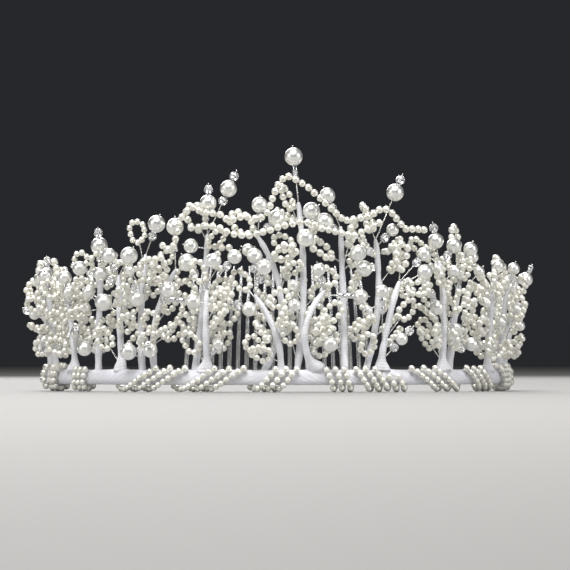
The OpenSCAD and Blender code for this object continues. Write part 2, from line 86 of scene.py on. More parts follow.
@dataclass(frozen=True)
class Sizes:
    """Driving sizes of the tiara, in millimetres and degrees."""

    band_radius: float = 78.0
    band_height: float = 5.0
    band_thickness: float = 3.6
    band_reach: float = 102.0
    band_lift: float = 2.5
    stem_foot_d: float = 3.4
    stem_d: float = 2.4
    stem_tip_d: float = 1.8
    foot_flare: float = 6.0
    wire_d: float = 0.5
    bore_d: float = 0.8
    crystal_d: float = 3.1
    bugle_d: float = 1.7
    bugle_length: float = 2.6
    bead_gap: float = 0.12
    loop_bend: float = 1.05
    loop_side: float = 0.6
    wound_d: float = 2.2
    garland_d: float = 2.5


SIZES = Sizes()

# Every angle is in degrees from the middle of the front, up is above the band's lower edge and
# out is away from the band's centre line, in millimetres. A row of a spray is its foot's angle and
# out, its bend's angle, up and out, its tip's angle, up and out, its twigs and its loops. A twig is
# its root on the stem from 0 to 1, the pearl's angle, up, out and size, and the beads below and
# above it. A loop is the same first five, and its turn about its own wire.
SPRAY_ROWS = [
    [-96, FRONT, -96, 12, 1, -95, 24, 2,
        [[1, -96, 31, 3, 4, CUT, NONE], [0.6, -99, 19, 4, 3.6, NONE, NONE]],
        [[0.7, -91, 22, 2, 2.2, 20], [0.3, -100.4, 13, 2, 2.2, 60]]],
    [-86, FRONT, -86, 16, 1, -85, 29, 3,
        [[1, -86, 36, 4, 4.8, CUT, NONE], [0.7, -88, 24, 6, 3.7, NONE, CUT]],
        [[0.5, -81.5, 29, 3, 2.2, 70], [0.5, -82.5, 19, 5, 2.2, 10],
            [0.3, -90.5, 13.5, 3, 2.2, 50], [0.9, -90.5, 34, 0, 2.6, 20]]],
    [-76, FRONT, -76, 16, 1, -75, 31, 3,
        [[1, -70, 37, 6, 4.8, CUT, NONE], [0.6, -73, 15, 5, 3.4, NONE, CUT],
            [1, -76, 38, 3, 4.2, CUT, CUT]],
        [[0.8, -78.5, 27, 6.5, 2.2, 60], [0.6, -72, 24, 5, 2.2, 0],
            [0.9, -79.5, 38.5, 2, 2.8, 80], [0.3, -80.5, 12.5, 4, 2.2, 80],
            [0.5, -73, 27, -4.5, 2.4, 30]]],
    [-61, FRONT, -61, 16, 1, -62, 27, 2,
        [[1, -61, 36, 4, 4.8, PAIR, NONE], [0.9, -58, 31, 5, 4.1, CUT, NONE],
            [0.4, -56, 17, 4, 3.4, NONE, CUT]],
        [[0.6, -65, 22, 4, 2.2, 30], [0.8, -66, 31, 2, 2.2, 60], [0.7, -57.5, 26, 0, 2.2, 0],
            [0.3, -65, 13, 4.5, 2.2, 70], [0.5, -62.5, 20, -5, 2.2, 30],
            [0.95, -56.6, 41, 1.5, 2.2, 30]]],
    [-51, BACK, -51, 20, -1, -50, 39, -1,
        [[1, -48.5, 46.5, 1.5, 5.8, CUT, CUT], [0.9, -53.5, 39, 4.5, 4.8, CUT, NONE],
            [0.7, -50.5, 31, 4, 4.4, NONE, NONE], [0.2, -52, 12, 4, 4.9, NONE, NONE]],
        [[0.25, -47.4, 19.5, 0, 2.2, 70], [0.6, -53.5, 24, 5, 2.2, 50],
            [0.9, -45.5, 38.5, -4, 2.4, 30]]],
    [-41.5, FRONT, -41.5, 18, 1, -41.3, 36, 2,
        [[1, -42.8, 43, 4.5, 5.1, CUT, NONE], [0.9, -45.3, 37, 5, 4.8, CUT, NONE],
            [0.6, -45, 27.5, 4, 5.8, NONE, NONE], [1, -38, 43, 2, 5.8, NONE, NONE]],
        [[0.03, -45.1, 15.5, 3.6, 2.2, 45], [0.5, -38.5, 30, 4.5, 2.2, 75],
            [0.3, -38, 20.5, 3.5, 2.2, 30], [0.6, -42, 29, -5, 2.4, 20]]],
    [-35.5, BACK, -35.5, 20, 0, -34.6, 43, -1,
        [[1, -30.8, 53.5, 0, 5.8, CUT, NONE], [0.7, -36.5, 38, 4, 3.1, NONE, NONE],
            [0.4, -34.5, 28.5, 4, 5.1, NONE, CUT], [0.1, -36.8, 11, 4.5, 5.6, NONE, NONE]],
        [[0.6, -32, 38, 3, 2.4, 20], [0.9, -37.8, 51, -2, 2.2, 30],
            [0.3, -31.3, 21.5, 3, 2.2, 0]]],
    [-31.8, BACK, -31.5, 24, -2, -25.5, 38, 0,
        [[1, -26.2, 52.5, -1.5, 5.8, PAIR, NONE], [0.5, -26, 31.5, 4, 5.4, CUT, NONE],
            [0.1, -30.6, 11.5, 4.5, 4.9, NONE, BUGLE]],
        [[0.8, -28.5, 38.5, 4, 2.4, 50], [0.9, -22.9, 31.8, -1, 2.2, 10]]],
    [-20.5, BACK, -18.5, 36, -3, -17.9, 49.5, -3,
        [[1, -17.3, 60.2, -1.5, 5.6, NONE, CUT], [1, -12.4, 65, -3.5, 5.6, CUT, CUT],
            [0.9, -21.1, 46, 1, 4.8, NONE, NONE], [0.6, -22.1, 40.5, 1, 5.8, CUT, NONE]],
        [[0.95, -21, 55.5, -3, 2.6, 20], [0.6, -13.6, 42, -3, 2.4, 30]]],
    [-17, FRONT, -16.9, 12, 2, -16.6, 31, 3,
        [[0.85, -19.4, 27.5, 5, 4.9, NONE, PAIR], [1, -14.7, 41, 4, 5.1, NONE, NONE],
            [1, -9.9, 42.3, 3, 4.8, CUT, NONE], [0.1, -13.6, 13.5, 4, 3.7, BUGLE, NONE]],
        [[0.03, -20.6, 14.2, 3, 2.2, 0], [0.6, -12.9, 28.5, 2.5, 2.2, 15],
            [0.95, -18.6, 37.5, 3, 2.2, 50]]],
    [-3, BACK, 0.5, 33, -3, -4.8, 49, -3,
        [[1, -4.3, 59.5, -2, 5.3, CUT, NONE], [1, 0, 55, 0, 5.8, CUT, NONE],
            [0.8, -7.3, 44.6, -3.2, 4.2, CUT, NONE]],
        [[0.8, 1.9, 43.5, 1.5, 2.6, 0], [0.95, -9, 53.5, -3.5, 2.6, 20]]],
    [1, BACK, 0.6, 12, 1, -5.1, 29.5, 3,
        [[1, -5.3, 42.6, 1.5, 5.1, CUT, NONE], [1, -2.9, 38.8, 5.2, 5.1, CUT, NONE],
            [0.7, -6.4, 25, 3.5, 4.8, NONE, CUT]],
        [[0.1, -3.8, 10.5, 3.3, 2.2, 10], [0.8, 0.3, 28.5, 2, 2.2, 20],
            [0.8, -8.6, 34.5, 0.5, 2.2, 10]]],
    [5, BACK, 6.6, 34, -1.6, 5.4, 60, -2,
        [[1, 4.2, 75.5, -2, 6, PAIR, NONE], [0.9, 8.6, 57.5, -1.5, 5.8, NONE, NONE],
            [0.7, 6.7, 48.5, 3, 5.8, NONE, NONE], [0.4, 3.8, 33, 2, 3.6, NONE, NONE],
            [0.3, 4.2, 26.3, 3, 4.2, NONE, NONE]],
        [[0.03, 3.1, 17, 2.5, 2.2, 0], [0.85, 2.6, 62, -3, 2.4, 60]]],
    [9, FRONT, 6.8, 12, 3, 11.1, 31, 3,
        [[0.45, 12.3, 13.5, 5, 5.1, NONE, NONE], [0.95, 19.8, 29.3, 4, 4.6, PAIR, NONE],
            [1, 9.6, 38, 5, 4.2, CUT, NONE]],
        [[0.4, 13.2, 24, 3, 2.2, 10]]],
    [16.9, BACK, 17, 28, -3, 16.1, 52, -2,
        [[1, 12.7, 62.6, -2, 5.3, CUT, NONE], [0.95, 11.6, 54, 1, 5.6, CUT, NONE],
            [0.8, 19.6, 43.5, 2, 5.4, NONE, CUT]],
        [[0.75, 11.3, 45, -2, 2.6, 60], [0.7, 19.9, 50.5, -5, 2.6, 60],
            [0.6, 12.3, 36, -1.5, 2.4, 40]]],
    [22.5, BACK, 26.6, 40, -3, 25.9, 48, -3,
        [[1, 31.2, 64, -2, 5.8, NONE, CUT], [0.8, 21.5, 38.5, 1, 5.4, CUT, NONE],
            [0.5, 22, 24.5, 2, 3.6, NONE, NONE], [0.95, 30.2, 51.5, -1.5, 4.2, CUT, NONE]],
        [[0.02, 21.8, 13.5, 3, 2.2, 0], [1, 24, 55.5, -4, 2.6, 80]]],
    [26, FRONT, 27, 18, 2, 30, 34, 3,
        [[1, 37.2, 43.5, 3, 4.8, CUT, NONE], [0.95, 35.6, 37.5, 6.5, 5.1, NONE, NONE],
            [0.2, 24.8, 31, 5, 4.4, PAIR, NONE], [0.1, 30.3, 15.2, 4, 4.1, CUT, CUT]],
        [[0.35, 32.2, 25, 3, 2.2, 0], [1, 31.1, 42.5, 2, 2.6, 20]]],
    [44.9, FRONT, 45, 22, 1, 42.6, 41, 2,
        [[1, 42.2, 48, 1, 5.3, NONE, CUT], [0.95, 47, 46.5, 3, 5.1, CUT, NONE],
            [0.8, 45.7, 38, 5, 3.9, NONE, NONE], [0.4, 40.6, 25.7, 4, 4.9, NONE, PAIR],
            [0.3, 47.3, 19, 4, 3.1, NONE, NONE]],
        [[0.35, 47, 28, 6, 2.2, 80], [0.05, 41.2, 16.5, 3.5, 2.2, 40],
            [0.5, 39.8, 33.5, 0, 2.4, 30], [0.4, 43.5, 24, -4.5, 2.2, 30]]],
    [48.6, BACK, 49.2, 18, 0, 51.8, 34, 0,
        [[1, 54.5, 45.5, 2, 4.8, NONE, NONE], [1, 57.5, 43, 0, 4.4, CUT, NONE],
            [0.8, 55, 38, 5, 3.7, NONE, NONE], [0.2, 53, 13.5, 4, 4.6, CUT, NONE]],
        [[0.25, 53.2, 25, 3, 2.2, 10], [0.9, 49.5, 40, 3, 2.2, 60], [0.95, 52, 49, -2, 2.4, 10],
            [0.5, 56.8, 31, -1, 2.2, 30]]],
    [66, FRONT, 65.5, 16, 1, 64.5, 32, 3,
        [[1, 64.5, 40, 5, 4.4, CUT, NONE], [0.7, 60, 27.5, 4, 3.2, NONE, NONE],
            [0.4, 67, 21, 5, 3.1, NONE, NONE]],
        [[0.5, 61, 20, 2, 2.2, 20], [0.9, 60.5, 37, 1, 2.2, 40], [0.9, 68.8, 32, 2, 2.2, 70],
            [0.2, 61.5, 12.5, 3.5, 2.2, 60], [0.6, 66, 22, -5, 2.2, 30]]],
    [77, FRONT, 76.5, 16, 1, 76, 32, 3,
        [[1, 77.5, 39.5, 5, 4.2, CUT, NONE], [0.9, 72.6, 33, 6, 3.2, NONE, CUT],
            [0.5, 79.5, 25.5, 6, 3.1, NONE, NONE]],
        [[0.5, 72.2, 20.5, 2.5, 2.2, 20], [0.9, 71, 40, 2, 2.2, 60],
            [0.2, 75.4, 26, 7, 2.2, 80], [0.2, 72.8, 12, 4, 2.2, 70], [0.6, 74, 30, -4, 2.4, 30]]],
    [87, FRONT, 86.5, 16, 2, 86, 29, 5,
        [[1, 85.5, 36, 8, 4.9, NONE, BUGLE], [0.5, 89.2, 20, 6, 3.6, NONE, NONE]],
        [[0.5, 82.6, 20.5, 5, 2.2, 20], [0.9, 81.5, 31, 3, 2.2, 50], [0.8, 91, 31, 3, 2.2, 10],
            [0.2, 82.6, 12, 4, 2.2, 80]]],
    [97, FRONT, 97, 12, 1, 96, 24, 2,
        [[1, 97, 31, 3, 4, CUT, NONE]],
        [[0.4, 92.6, 20.5, 3, 2.2, 70], [0.3, 101.2, 13.5, 2.5, 2.2, 60]]]
]

# Where a wound string passes under and over the band, its rows, and the angle where it ends
WINDING_ROWS = [
    [-100, -99, 1, 150], [-92.9, -90.4, 2, 150], [-84, -81.5, 2, 150], [-74.5, -72, 3, 150],
    [-58.6, -56.6, 3, 58], [-41, -26.8, 2, 58], [-24, -12, 2, 58], [-5.2, 1.3, 3, 58],
    [14, 11, 2, 58], [23.3, 17.5, 3, 58], [30.5, 24.7, 1, 10], [43.5, 31, 2, 58], [60, 50, 2, 58],
    [76, 70, 2, 150], [85, 81.5, 2, 150], [94, 91.5, 2, 150], [101, 100, 1, 150]
]

# Angle, up and out of each bend of a garland
UPPER_ROUTE = [
    [-29, 47, 3], [-25.5, 44, 3.2], [-24, 50, 3], [-23.2, 56, 2], [-20.4, 59.5, 1.5],
    [-18, 56.5, 1.5], [-14.2, 57, 1.5], [-11.4, 54, 1.5], [-8, 56, 1.5], [-5.4, 54.5, 2],
    [-2.2, 56, 4], [-0.6, 63, 2.5], [0.7, 67.5, 1.5], [2.6, 69.4, 1.5], [5.2, 67.5, 2],
    [8, 64.5, 3], [12, 59, 4], [16.2, 54, 2.5], [19.3, 55, 1.5], [23, 56, 1.5], [26.8, 59, 1.5],
    [30, 55.5, 1.5], [32, 51.5, 1.8], [37.2, 52, 1.8], [39.4, 51.5, 1.6]
]
LOWER_ROUTE = [
    [-21.5, 51.5, 3.6], [-17.5, 52.3, 3.4], [-14.5, 52.6, 4], [-10.4, 49.8, 3], [-6, 49, 2.5],
    [-3, 50.5, 4.2], [3, 53, 3.8], [6.7, 54, 3.4], [10.5, 51.5, 5.2], [12.3, 51, 5.2],
    [14.6, 50.3, 3.6], [18.7, 49, 2.6], [22.5, 52, 2.4], [26.5, 54.6, 1.6]
]

# First and last spray of each sector
SECTORS = {
    "left_side": (0, 2),
    "left_temple": (3, 5),
    "left_front": (6, 9),
    "centre": (10, 13),
    "right_front": (14, 16),
    "right_temple": (17, 19),
    "right_side": (20, 22),
}

# Rings that fill each sector besides those of the table: how many for each stem, and how far above
# the stem's tip they reach, in millimetres
FILL = {
    "left_side": (7, 6.0),
    "left_temple": (8, 5.0),
    "left_front": (6, -1.0),
    "centre": (8, -4.0),
    "right_front": (6, -2.0),
    "right_temple": (8, 5.0),
    "right_side": (7, 6.0),
}


def outward(turn: float | np.ndarray) -> np.ndarray:
    """Level directions out of the band's centre, at angles in radians from the camera side, -Y."""
    turn = np.asarray(turn, float)
    return np.stack([np.sin(turn), -np.cos(turn), 0 * turn], axis=-1)


def place(az: float | np.ndarray, up: float | np.ndarray, out: float | np.ndarray) -> np.ndarray:
    """Points at angles round the front of the band.

    A point lies the band's radius and its own distance out along the outward direction, and
    stands its own height above the band's lower edge.

    Args:
        az: Angle from the middle of the front, in degrees.
        up: Height above the band's lower edge, in millimetres.
        out: Distance out of the band's centre line, in millimetres.

    Returns:
        Points in millimetres, with x, y and z on the last axis.
    """
    reach = SIZES.band_radius + np.asarray(out, float)
    height = SIZES.band_lift + np.asarray(up, float)
    return reach[..., None] * outward(np.radians(az)) + height[..., None] * UP


def measured(points: np.ndarray) -> tuple[np.ndarray, np.ndarray, np.ndarray]:
    """Angle, height and distance out of points, as place() takes them."""
    x, y, z = np.moveaxis(points, -1, 0)
    return np.degrees(np.arctan2(x, -y)), z - SIZES.band_lift, np.hypot(x, y) - SIZES.band_radius


def unit(v: np.ndarray) -> np.ndarray:
    """Vectors divided by their own length."""
    return v / np.linalg.norm(v, axis=-1, keepdims=True)


def across(v: np.ndarray, line: np.ndarray) -> np.ndarray:
    """Directions v with what runs along the line taken off, at unit length."""
    return unit(v - np.sum(v * line, axis=-1, keepdims=True) * line)


def mix(a: float, b: float, share: np.ndarray) -> np.ndarray:
    """Values between a and b at shares from 0 to 1."""
    return a + (b - a) * share


def lengths(path: np.ndarray) -> np.ndarray:
    """Length along a path up to each of its points."""
    steps = np.linalg.norm(np.diff(path, axis=0), axis=1)
    return np.concatenate([[0.0], np.cumsum(steps)])


def along(path: np.ndarray, at: np.ndarray) -> np.ndarray:
    """Points of a path at given lengths along it, straight between the path's own points."""
    run = lengths(path)
    return np.stack([np.interp(at, run, path[:, k]) for k in range(3)], axis=-1)


def angles(count: int) -> np.ndarray:
    """Angles of evenly spaced columns round a section, in radians."""
    return np.arange(count) * 2 * np.pi / count


def round_end(steps: int) -> np.ndarray:
    """Angles over a rounded end, in radians, between its rim at 0 and its point at a right angle."""
    return np.linspace(0, np.pi / 2, steps + 1)[1:-1]


def squared(angle: np.ndarray, power: float) -> np.ndarray:
    """Points of a superellipse of half width 1: a power of the angle's cosine and of its sine."""
    ways = np.stack([np.cos(angle), np.sin(angle)], axis=-1)
    return np.sign(ways) * np.abs(ways) ** power


def grooves(phase: np.ndarray, depth: float) -> np.ndarray:
    """Height of wound turns: minus the depth times (2 f - 1)^4, f being the fraction of a turn."""
    return -depth * np.abs(2 * (phase % 1) - 1) ** 4


@dataclass
class Patch:
    """Surface in millimetres, with its faces, a wrap coordinate for each corner and a tint."""

    points: np.ndarray
    quads: np.ndarray
    quad_wrap: np.ndarray
    tris: np.ndarray = field(default_factory=lambda: np.zeros((0, 3), int))
    tri_wrap: np.ndarray = field(default_factory=lambda: np.zeros((0, 3, 2)))
    tint: float | np.ndarray = 0.0

    @staticmethod
    def joined(patches: list[Patch]) -> Patch:
        """One surface that holds several, each with its own points.

        Args:
            patches: The surfaces to hold.

        Returns:
            The joined surface.
        """
        starts = np.cumsum([0] + [len(p.points) for p in patches[:-1]])
        return Patch(
            points=np.concatenate([p.points for p in patches]),
            quads=np.concatenate([p.quads + s for p, s in zip(patches, starts)]),
            quad_wrap=np.concatenate([p.quad_wrap for p in patches]),
            tris=np.concatenate([p.tris + s for p, s in zip(patches, starts)]),
            tri_wrap=np.concatenate([p.tri_wrap for p in patches]),
            tint=np.concatenate([np.broadcast_to(p.tint, len(p.points)) for p in patches]),
        )

    def strung(self, centres: np.ndarray, lines: np.ndarray, sizes: np.ndarray, tints: np.ndarray) -> Patch:
        """Copies of this surface, one for each bead of a string.

        A copy's Z axis follows the string, its X axis is a fixed skew direction made square to
        it, and all of it is scaled by the bead's size.

        Args:
            centres: Middle of each bead.
            lines: Direction of the string through each bead.
            sizes: Scale of each copy.
            tints: Tint of each copy, from 0 to 1.

        Returns:
            One surface with every copy.
        """
        z = unit(lines)
        x = across(SKEW, z)
        frame = np.stack([x, np.cross(z, x), z], axis=1)
        points = np.einsum("pk,nkc->npc", self.points, frame) * sizes[:, None, None] + centres[:, None]
        count = len(centres)
        starts = np.arange(count)[:, None, None] * len(self.points)
        return Patch(
            points=points.reshape(-1, 3),
            quads=(self.quads[None] + starts).reshape(-1, 4),
            quad_wrap=np.tile(self.quad_wrap, (count, 1, 1)),
            tris=(self.tris[None] + starts).reshape(-1, 3),
            tri_wrap=np.tile(self.tri_wrap, (count, 1, 1)),
            tint=np.repeat(tints, len(self.points)),
        )


def grid(points: np.ndarray, run: np.ndarray, ends: tuple[np.ndarray, np.ndarray] | None) -> Patch:
    """Surface over rows of points that each go once round.

    Rows follow one another along the surface. With two end points it is closed by a fan at each
    end, and with none its last row joins its first.

    Args:
        points: Rows, columns and x, y, z, going anticlockwise seen against the rows' direction.
        run: Length along the surface at each row, and past the last row where there are no ends.
        ends: Points that close the first and the last row, or None.

    Returns:
        The closed surface.
    """
    rows, cols = points.shape[:2]
    i, j = np.meshgrid(np.arange(rows - 1 if ends else rows), np.arange(cols), indexing="ij")
    after, beside = (i + 1) % rows, (j + 1) % cols
    corners = [i * cols + j, i * cols + beside, after * cols + beside, after * cols + j]
    turn = np.stack([j, j + 1, j + 1, j], axis=-1) / cols
    length = np.stack([run[i], run[i], run[i + 1], run[i + 1]], axis=-1)
    patch = Patch(
        points=points.reshape(-1, 3),
        quads=np.stack(corners, axis=-1).reshape(-1, 4),
        quad_wrap=np.stack([turn, length], axis=-1).reshape(-1, 4, 2),
    )
    if ends:
        k = np.arange(cols)
        k2 = (k + 1) % cols
        first, last = rows * cols, rows * cols + 1
        low = np.stack([k2, k, np.full(cols, first)], axis=-1)
        high = np.stack([(rows - 1) * cols + k, (rows - 1) * cols + k2, np.full(cols, last)], axis=-1)
        spread = np.stack([k + 1, k, k + 0.5], axis=-1) / cols
        low_wrap = np.stack([spread, np.full_like(spread, run[0])], axis=-1)
        high_wrap = np.stack([spread[:, [1, 0, 2]], np.full_like(spread, run[rows - 1])], axis=-1)
        patch.points = np.concatenate([patch.points, np.stack(ends)])
        patch.tris = np.concatenate([low, high])
        patch.tri_wrap = np.concatenate([low_wrap, high_wrap])
    return patch


def swept(path: np.ndarray, section: np.ndarray, side: np.ndarray, closed: bool = False) -> Patch:
    """Section carried along a path.

    A point is the path's point plus the section's first number times the side direction and its
    second number times the direction square to both the side and the path.

    Args:
        path: Points of the path.
        section: For each path point, the columns' two offsets across the path.
        side: Side direction, one for all or one for each path point. It is made square to the path.
        closed: Whether the path joins its own start.

    Returns:
        The closed surface.
    """
    if closed:
        tangent = unit(np.roll(path, -1, axis=0) - np.roll(path, 1, axis=0))
        run = lengths(np.concatenate([path, path[:1]]))
    else:
        tangent = unit(np.gradient(path, axis=0))
        run = lengths(path)
    n = across(side, tangent)
    b = np.cross(tangent, n)
    points = path[:, None] + section[..., :1] * n[:, None] + section[..., 1:] * b[:, None]
    return grid(points, run, None if closed else (path[0], path[-1]))


def circles(radii: np.ndarray, sides: int) -> np.ndarray:
    """Circular sections for swept(): radius times the cosine and sine of each column's angle.

    Args:
        radii: Radius of each row, or of each row and column.
        sides: Number of columns.

    Returns:
        The two offsets of each row and column.
    """
    radii = radii if radii.ndim == 2 else radii[:, None]
    return radii[..., None] * squared(angles(sides), 1.0)


def turned(radii: np.ndarray, heights: np.ndarray, sides: int, closed: bool) -> Patch:
    """Profile turned round the Z axis: x and y are the radius times the angle's cosine and sine.

    Args:
        radii: Radius of each point of the profile, from the bottom up.
        heights: Height of each point.
        sides: Number of columns.
        closed: Whether the profile goes back down a hole to its own start. Otherwise its first
            and last points lie on the axis and close it.

    Returns:
        The closed surface.
    """
    a = angles(sides)
    rows = slice(None) if closed else slice(1, -1)
    r, z = radii[rows, None], heights[rows, None]
    points = np.stack(np.broadcast_arrays(r * np.cos(a), r * np.sin(a), z), axis=-1)
    run = np.arange(len(points) + 1, dtype=float)
    ends = None if closed else (UP * heights[0], UP * heights[-1])
    return grid(points, run, ends)


def small_ball(sides: int = 12, bands: int = 6) -> Patch:
    """Ball of diameter 1 with few faces: radius sin(a) / 2 at height -cos(a) / 2."""
    a = np.linspace(0, np.pi, bands + 1)
    return turned(np.sin(a) / 2, -np.cos(a) / 2, sides, closed=False)


@dataclass(frozen=True)
class Held:
    """What a wire from a stem carries, and where."""

    root: float
    az: float
    up: float
    out: float
    size: float

    def middle(self) -> np.ndarray:
        """Its middle."""
        return place(self.az, self.up, self.out)


@dataclass(frozen=True)
class Twig(Held):
    """Large pearl on its wire, with the beads beside it."""

    below: Bead
    above: Bead


@dataclass(frozen=True)
class Loop(Held):
    """Oval ring of small pearls on a wire of its own."""

    turn: float

    def round_radius(self) -> float:
        """Radius of the ring's two bends."""
        return SIZES.loop_bend * self.size

    def straight(self) -> float:
        """Half the length of the ring's straight sides."""
        return SIZES.loop_side * self.size


@dataclass(frozen=True)
class Spray:
    """Wrapped stem with its twigs and loops."""

    foot: tuple[float, float]
    bend: tuple[float, float, float]
    tip: tuple[float, float, float]
    twigs: tuple[Twig, ...]
    loops: tuple[Loop, ...]

    @staticmethod
    def from_row(row: list) -> Spray:
        """Spray of one row of the table.

        Args:
            row: The row.

        Returns:
            The spray.
        """
        twigs = tuple(Twig(*w) for w in row[8])
        loops = tuple(Loop(*w) for w in row[9])
        return Spray(tuple(row[0:2]), tuple(row[2:5]), tuple(row[5:8]), twigs, loops)

    def in_front(self) -> bool:
        """Whether the stem stands in the front layer."""
        return self.foot[1] == FRONT

    def at(self, share: float | np.ndarray) -> np.ndarray:
        """Points of the stem's middle line.

        A parabola from the foot through the bend to the tip, in Bezier form, whose control point
        is chosen so that it passes the bend at the bend's own share of the height.

        Args:
            share: Place along the stem, 0 at the foot and 1 at the tip.

        Returns:
            The points.
        """
        t = np.asarray(share, float)[..., None]
        low = place(self.foot[0], SIZES.band_height, self.foot[1])
        bend, high = place(*self.bend), place(*self.tip)
        k = (self.bend[1] - SIZES.band_height) / (self.tip[1] - SIZES.band_height)
        control = (bend - (1 - k) ** 2 * low - k**2 * high) / (2 * k * (1 - k))
        return (1 - t) ** 2 * low + 2 * t * (1 - t) * control + t**2 * high

    def line(self, held: Held) -> np.ndarray:
        """Direction of the wire to a pearl or a ring."""
        return unit(held.middle() - self.at(held.root))


SPRAYS = [Spray.from_row(row) for row in SPRAY_ROWS]


def sector_sprays(sector: str) -> list[Spray]:
    """Sprays of one sector of the tiara."""
    first, last = SECTORS[sector]
    return SPRAYS[first : last + 1]


def sector_twigs(sector: str) -> list[tuple[Spray, Twig]]:
    """Every twig of one sector, each after its spray."""
    return [(spray, twig) for spray in sector_sprays(sector) for twig in spray.twigs]


class Nodes:
    """Small helper that places and links the nodes of one shader tree."""

    def __init__(self, tree: bpy.types.NodeTree) -> None:
        """Keeps the tree that is filled."""
        self.tree = tree

    def add(self, kind: str, settings: dict | None = None, **inputs: object) -> bpy.types.Node:
        """Adds one node.

        Args:
            kind: Blender's name of the node type.
            settings: Properties of the node.
            inputs: Input sockets by name or as _ and number: a value, or an output socket to link.

        Returns:
            The node.
        """
        node = self.tree.nodes.new(kind)
        for name, value in (settings or {}).items():
            setattr(node, name, value)
        for name, value in inputs.items():
            socket = node.inputs[int(name[1:]) if name[1:].isdigit() else name]
            if isinstance(value, bpy.types.NodeSocket):
                self.tree.links.new(value, socket)
            else:
                socket.default_value = value
        return node

    def math(self, operation: str, a: object, b: object = 0.0) -> bpy.types.NodeSocket:
        """Output of a Math node."""
        return self.add("ShaderNodeMath", {"operation": operation}, _0=a, _1=b).outputs[0]

    def plus(self, a: object, b: object) -> bpy.types.NodeSocket:
        """Sum of two numbers."""
        return self.math("ADD", a, b)

    def minus(self, a: object, b: object) -> bpy.types.NodeSocket:
        """Difference of two numbers."""
        return self.math("SUBTRACT", a, b)

    def times(self, a: object, b: object) -> bpy.types.NodeSocket:
        """Product of two numbers."""
        return self.math("MULTIPLY", a, b)

    def noise(self, scale: object, detail: float) -> bpy.types.NodeSocket:
        """Noise of a scale over the object's own coordinates."""
        where = self.add("ShaderNodeTexCoord").outputs["Object"]
        return self.add("ShaderNodeTexNoise", Vector=where, Scale=scale, Detail=detail).outputs["Fac"]

    def blend(self, share: object, a: object, b: object) -> bpy.types.NodeSocket:
        """Output of a colour Mix node."""
        return self.add("ShaderNodeMix", {"data_type": "RGBA"}, _0=share, _6=a, _7=b).outputs[2]


WHITE = (1.0, 1.0, 1.0, 1.0)
COLOUR, NUMBER = "NodeSocketColor", "NodeSocketFloat"
GROUP_OUTPUTS = {"Color": COLOUR, "Roughness": NUMBER, "Height": NUMBER}


def new_group(name: str, inputs: dict[str, tuple[str, object]]) -> tuple[Nodes, bpy.types.NodeOutputs]:
    """Starts a shader node group that gives a colour, a roughness and a height.

    Args:
        name: Name of the group.
        inputs: For each input, its socket type and its default.

    Returns:
        A Nodes helper for its tree, and the sockets of what is given to the group.
    """
    tree = bpy.data.node_groups.new(name, "ShaderNodeTree")
    for label, (kind, default) in inputs.items():
        tree.interface.new_socket(name=label, in_out="INPUT", socket_type=kind).default_value = default
    for label, kind in GROUP_OUTPUTS.items():
        tree.interface.new_socket(name=label, in_out="OUTPUT", socket_type=kind)
    nodes = Nodes(tree)
    return nodes, nodes.add("NodeGroupInput").outputs


def cloud_group(name: str) -> bpy.types.NodeTree:
    """Node group for slow changes of colour and gloss over a surface.

    A soft noise, together with the piece's own tint, mixes two colours and moves the roughness.
    A finer noise gives the height of small unevenness.

    Args:
        name: Name of the group.

    Returns:
        The group.
    """
    inputs = {
        "Main": (COLOUR, WHITE),
        "Second": (COLOUR, WHITE),
        "Scale": (NUMBER, 300.0),
        "Tint Share": (NUMBER, 0.5),
        "Cloud Share": (NUMBER, 0.3),
        "Roughness": (NUMBER, 0.2),
        "Roughness Spread": (NUMBER, 0.06),
    }
    finer = 9.0
    nodes, given = new_group(name, inputs)
    slow = nodes.noise(given["Scale"], 2.0)
    fine = nodes.noise(nodes.times(given["Scale"], finer), 3.0)
    tint = nodes.add("ShaderNodeAttribute", {"attribute_name": "tint"}).outputs["Fac"]
    share = nodes.plus(nodes.times(slow, given["Cloud Share"]), nodes.times(tint, given["Tint Share"]))
    colour = nodes.blend(share, given["Main"], given["Second"])
    spread = nodes.times(nodes.minus(slow, 0.5), given["Roughness Spread"])
    rough = nodes.plus(given["Roughness"], nodes.times(spread, 2.0))
    nodes.add("NodeGroupOutput", Color=colour, Roughness=rough, Height=fine)
    return nodes.tree


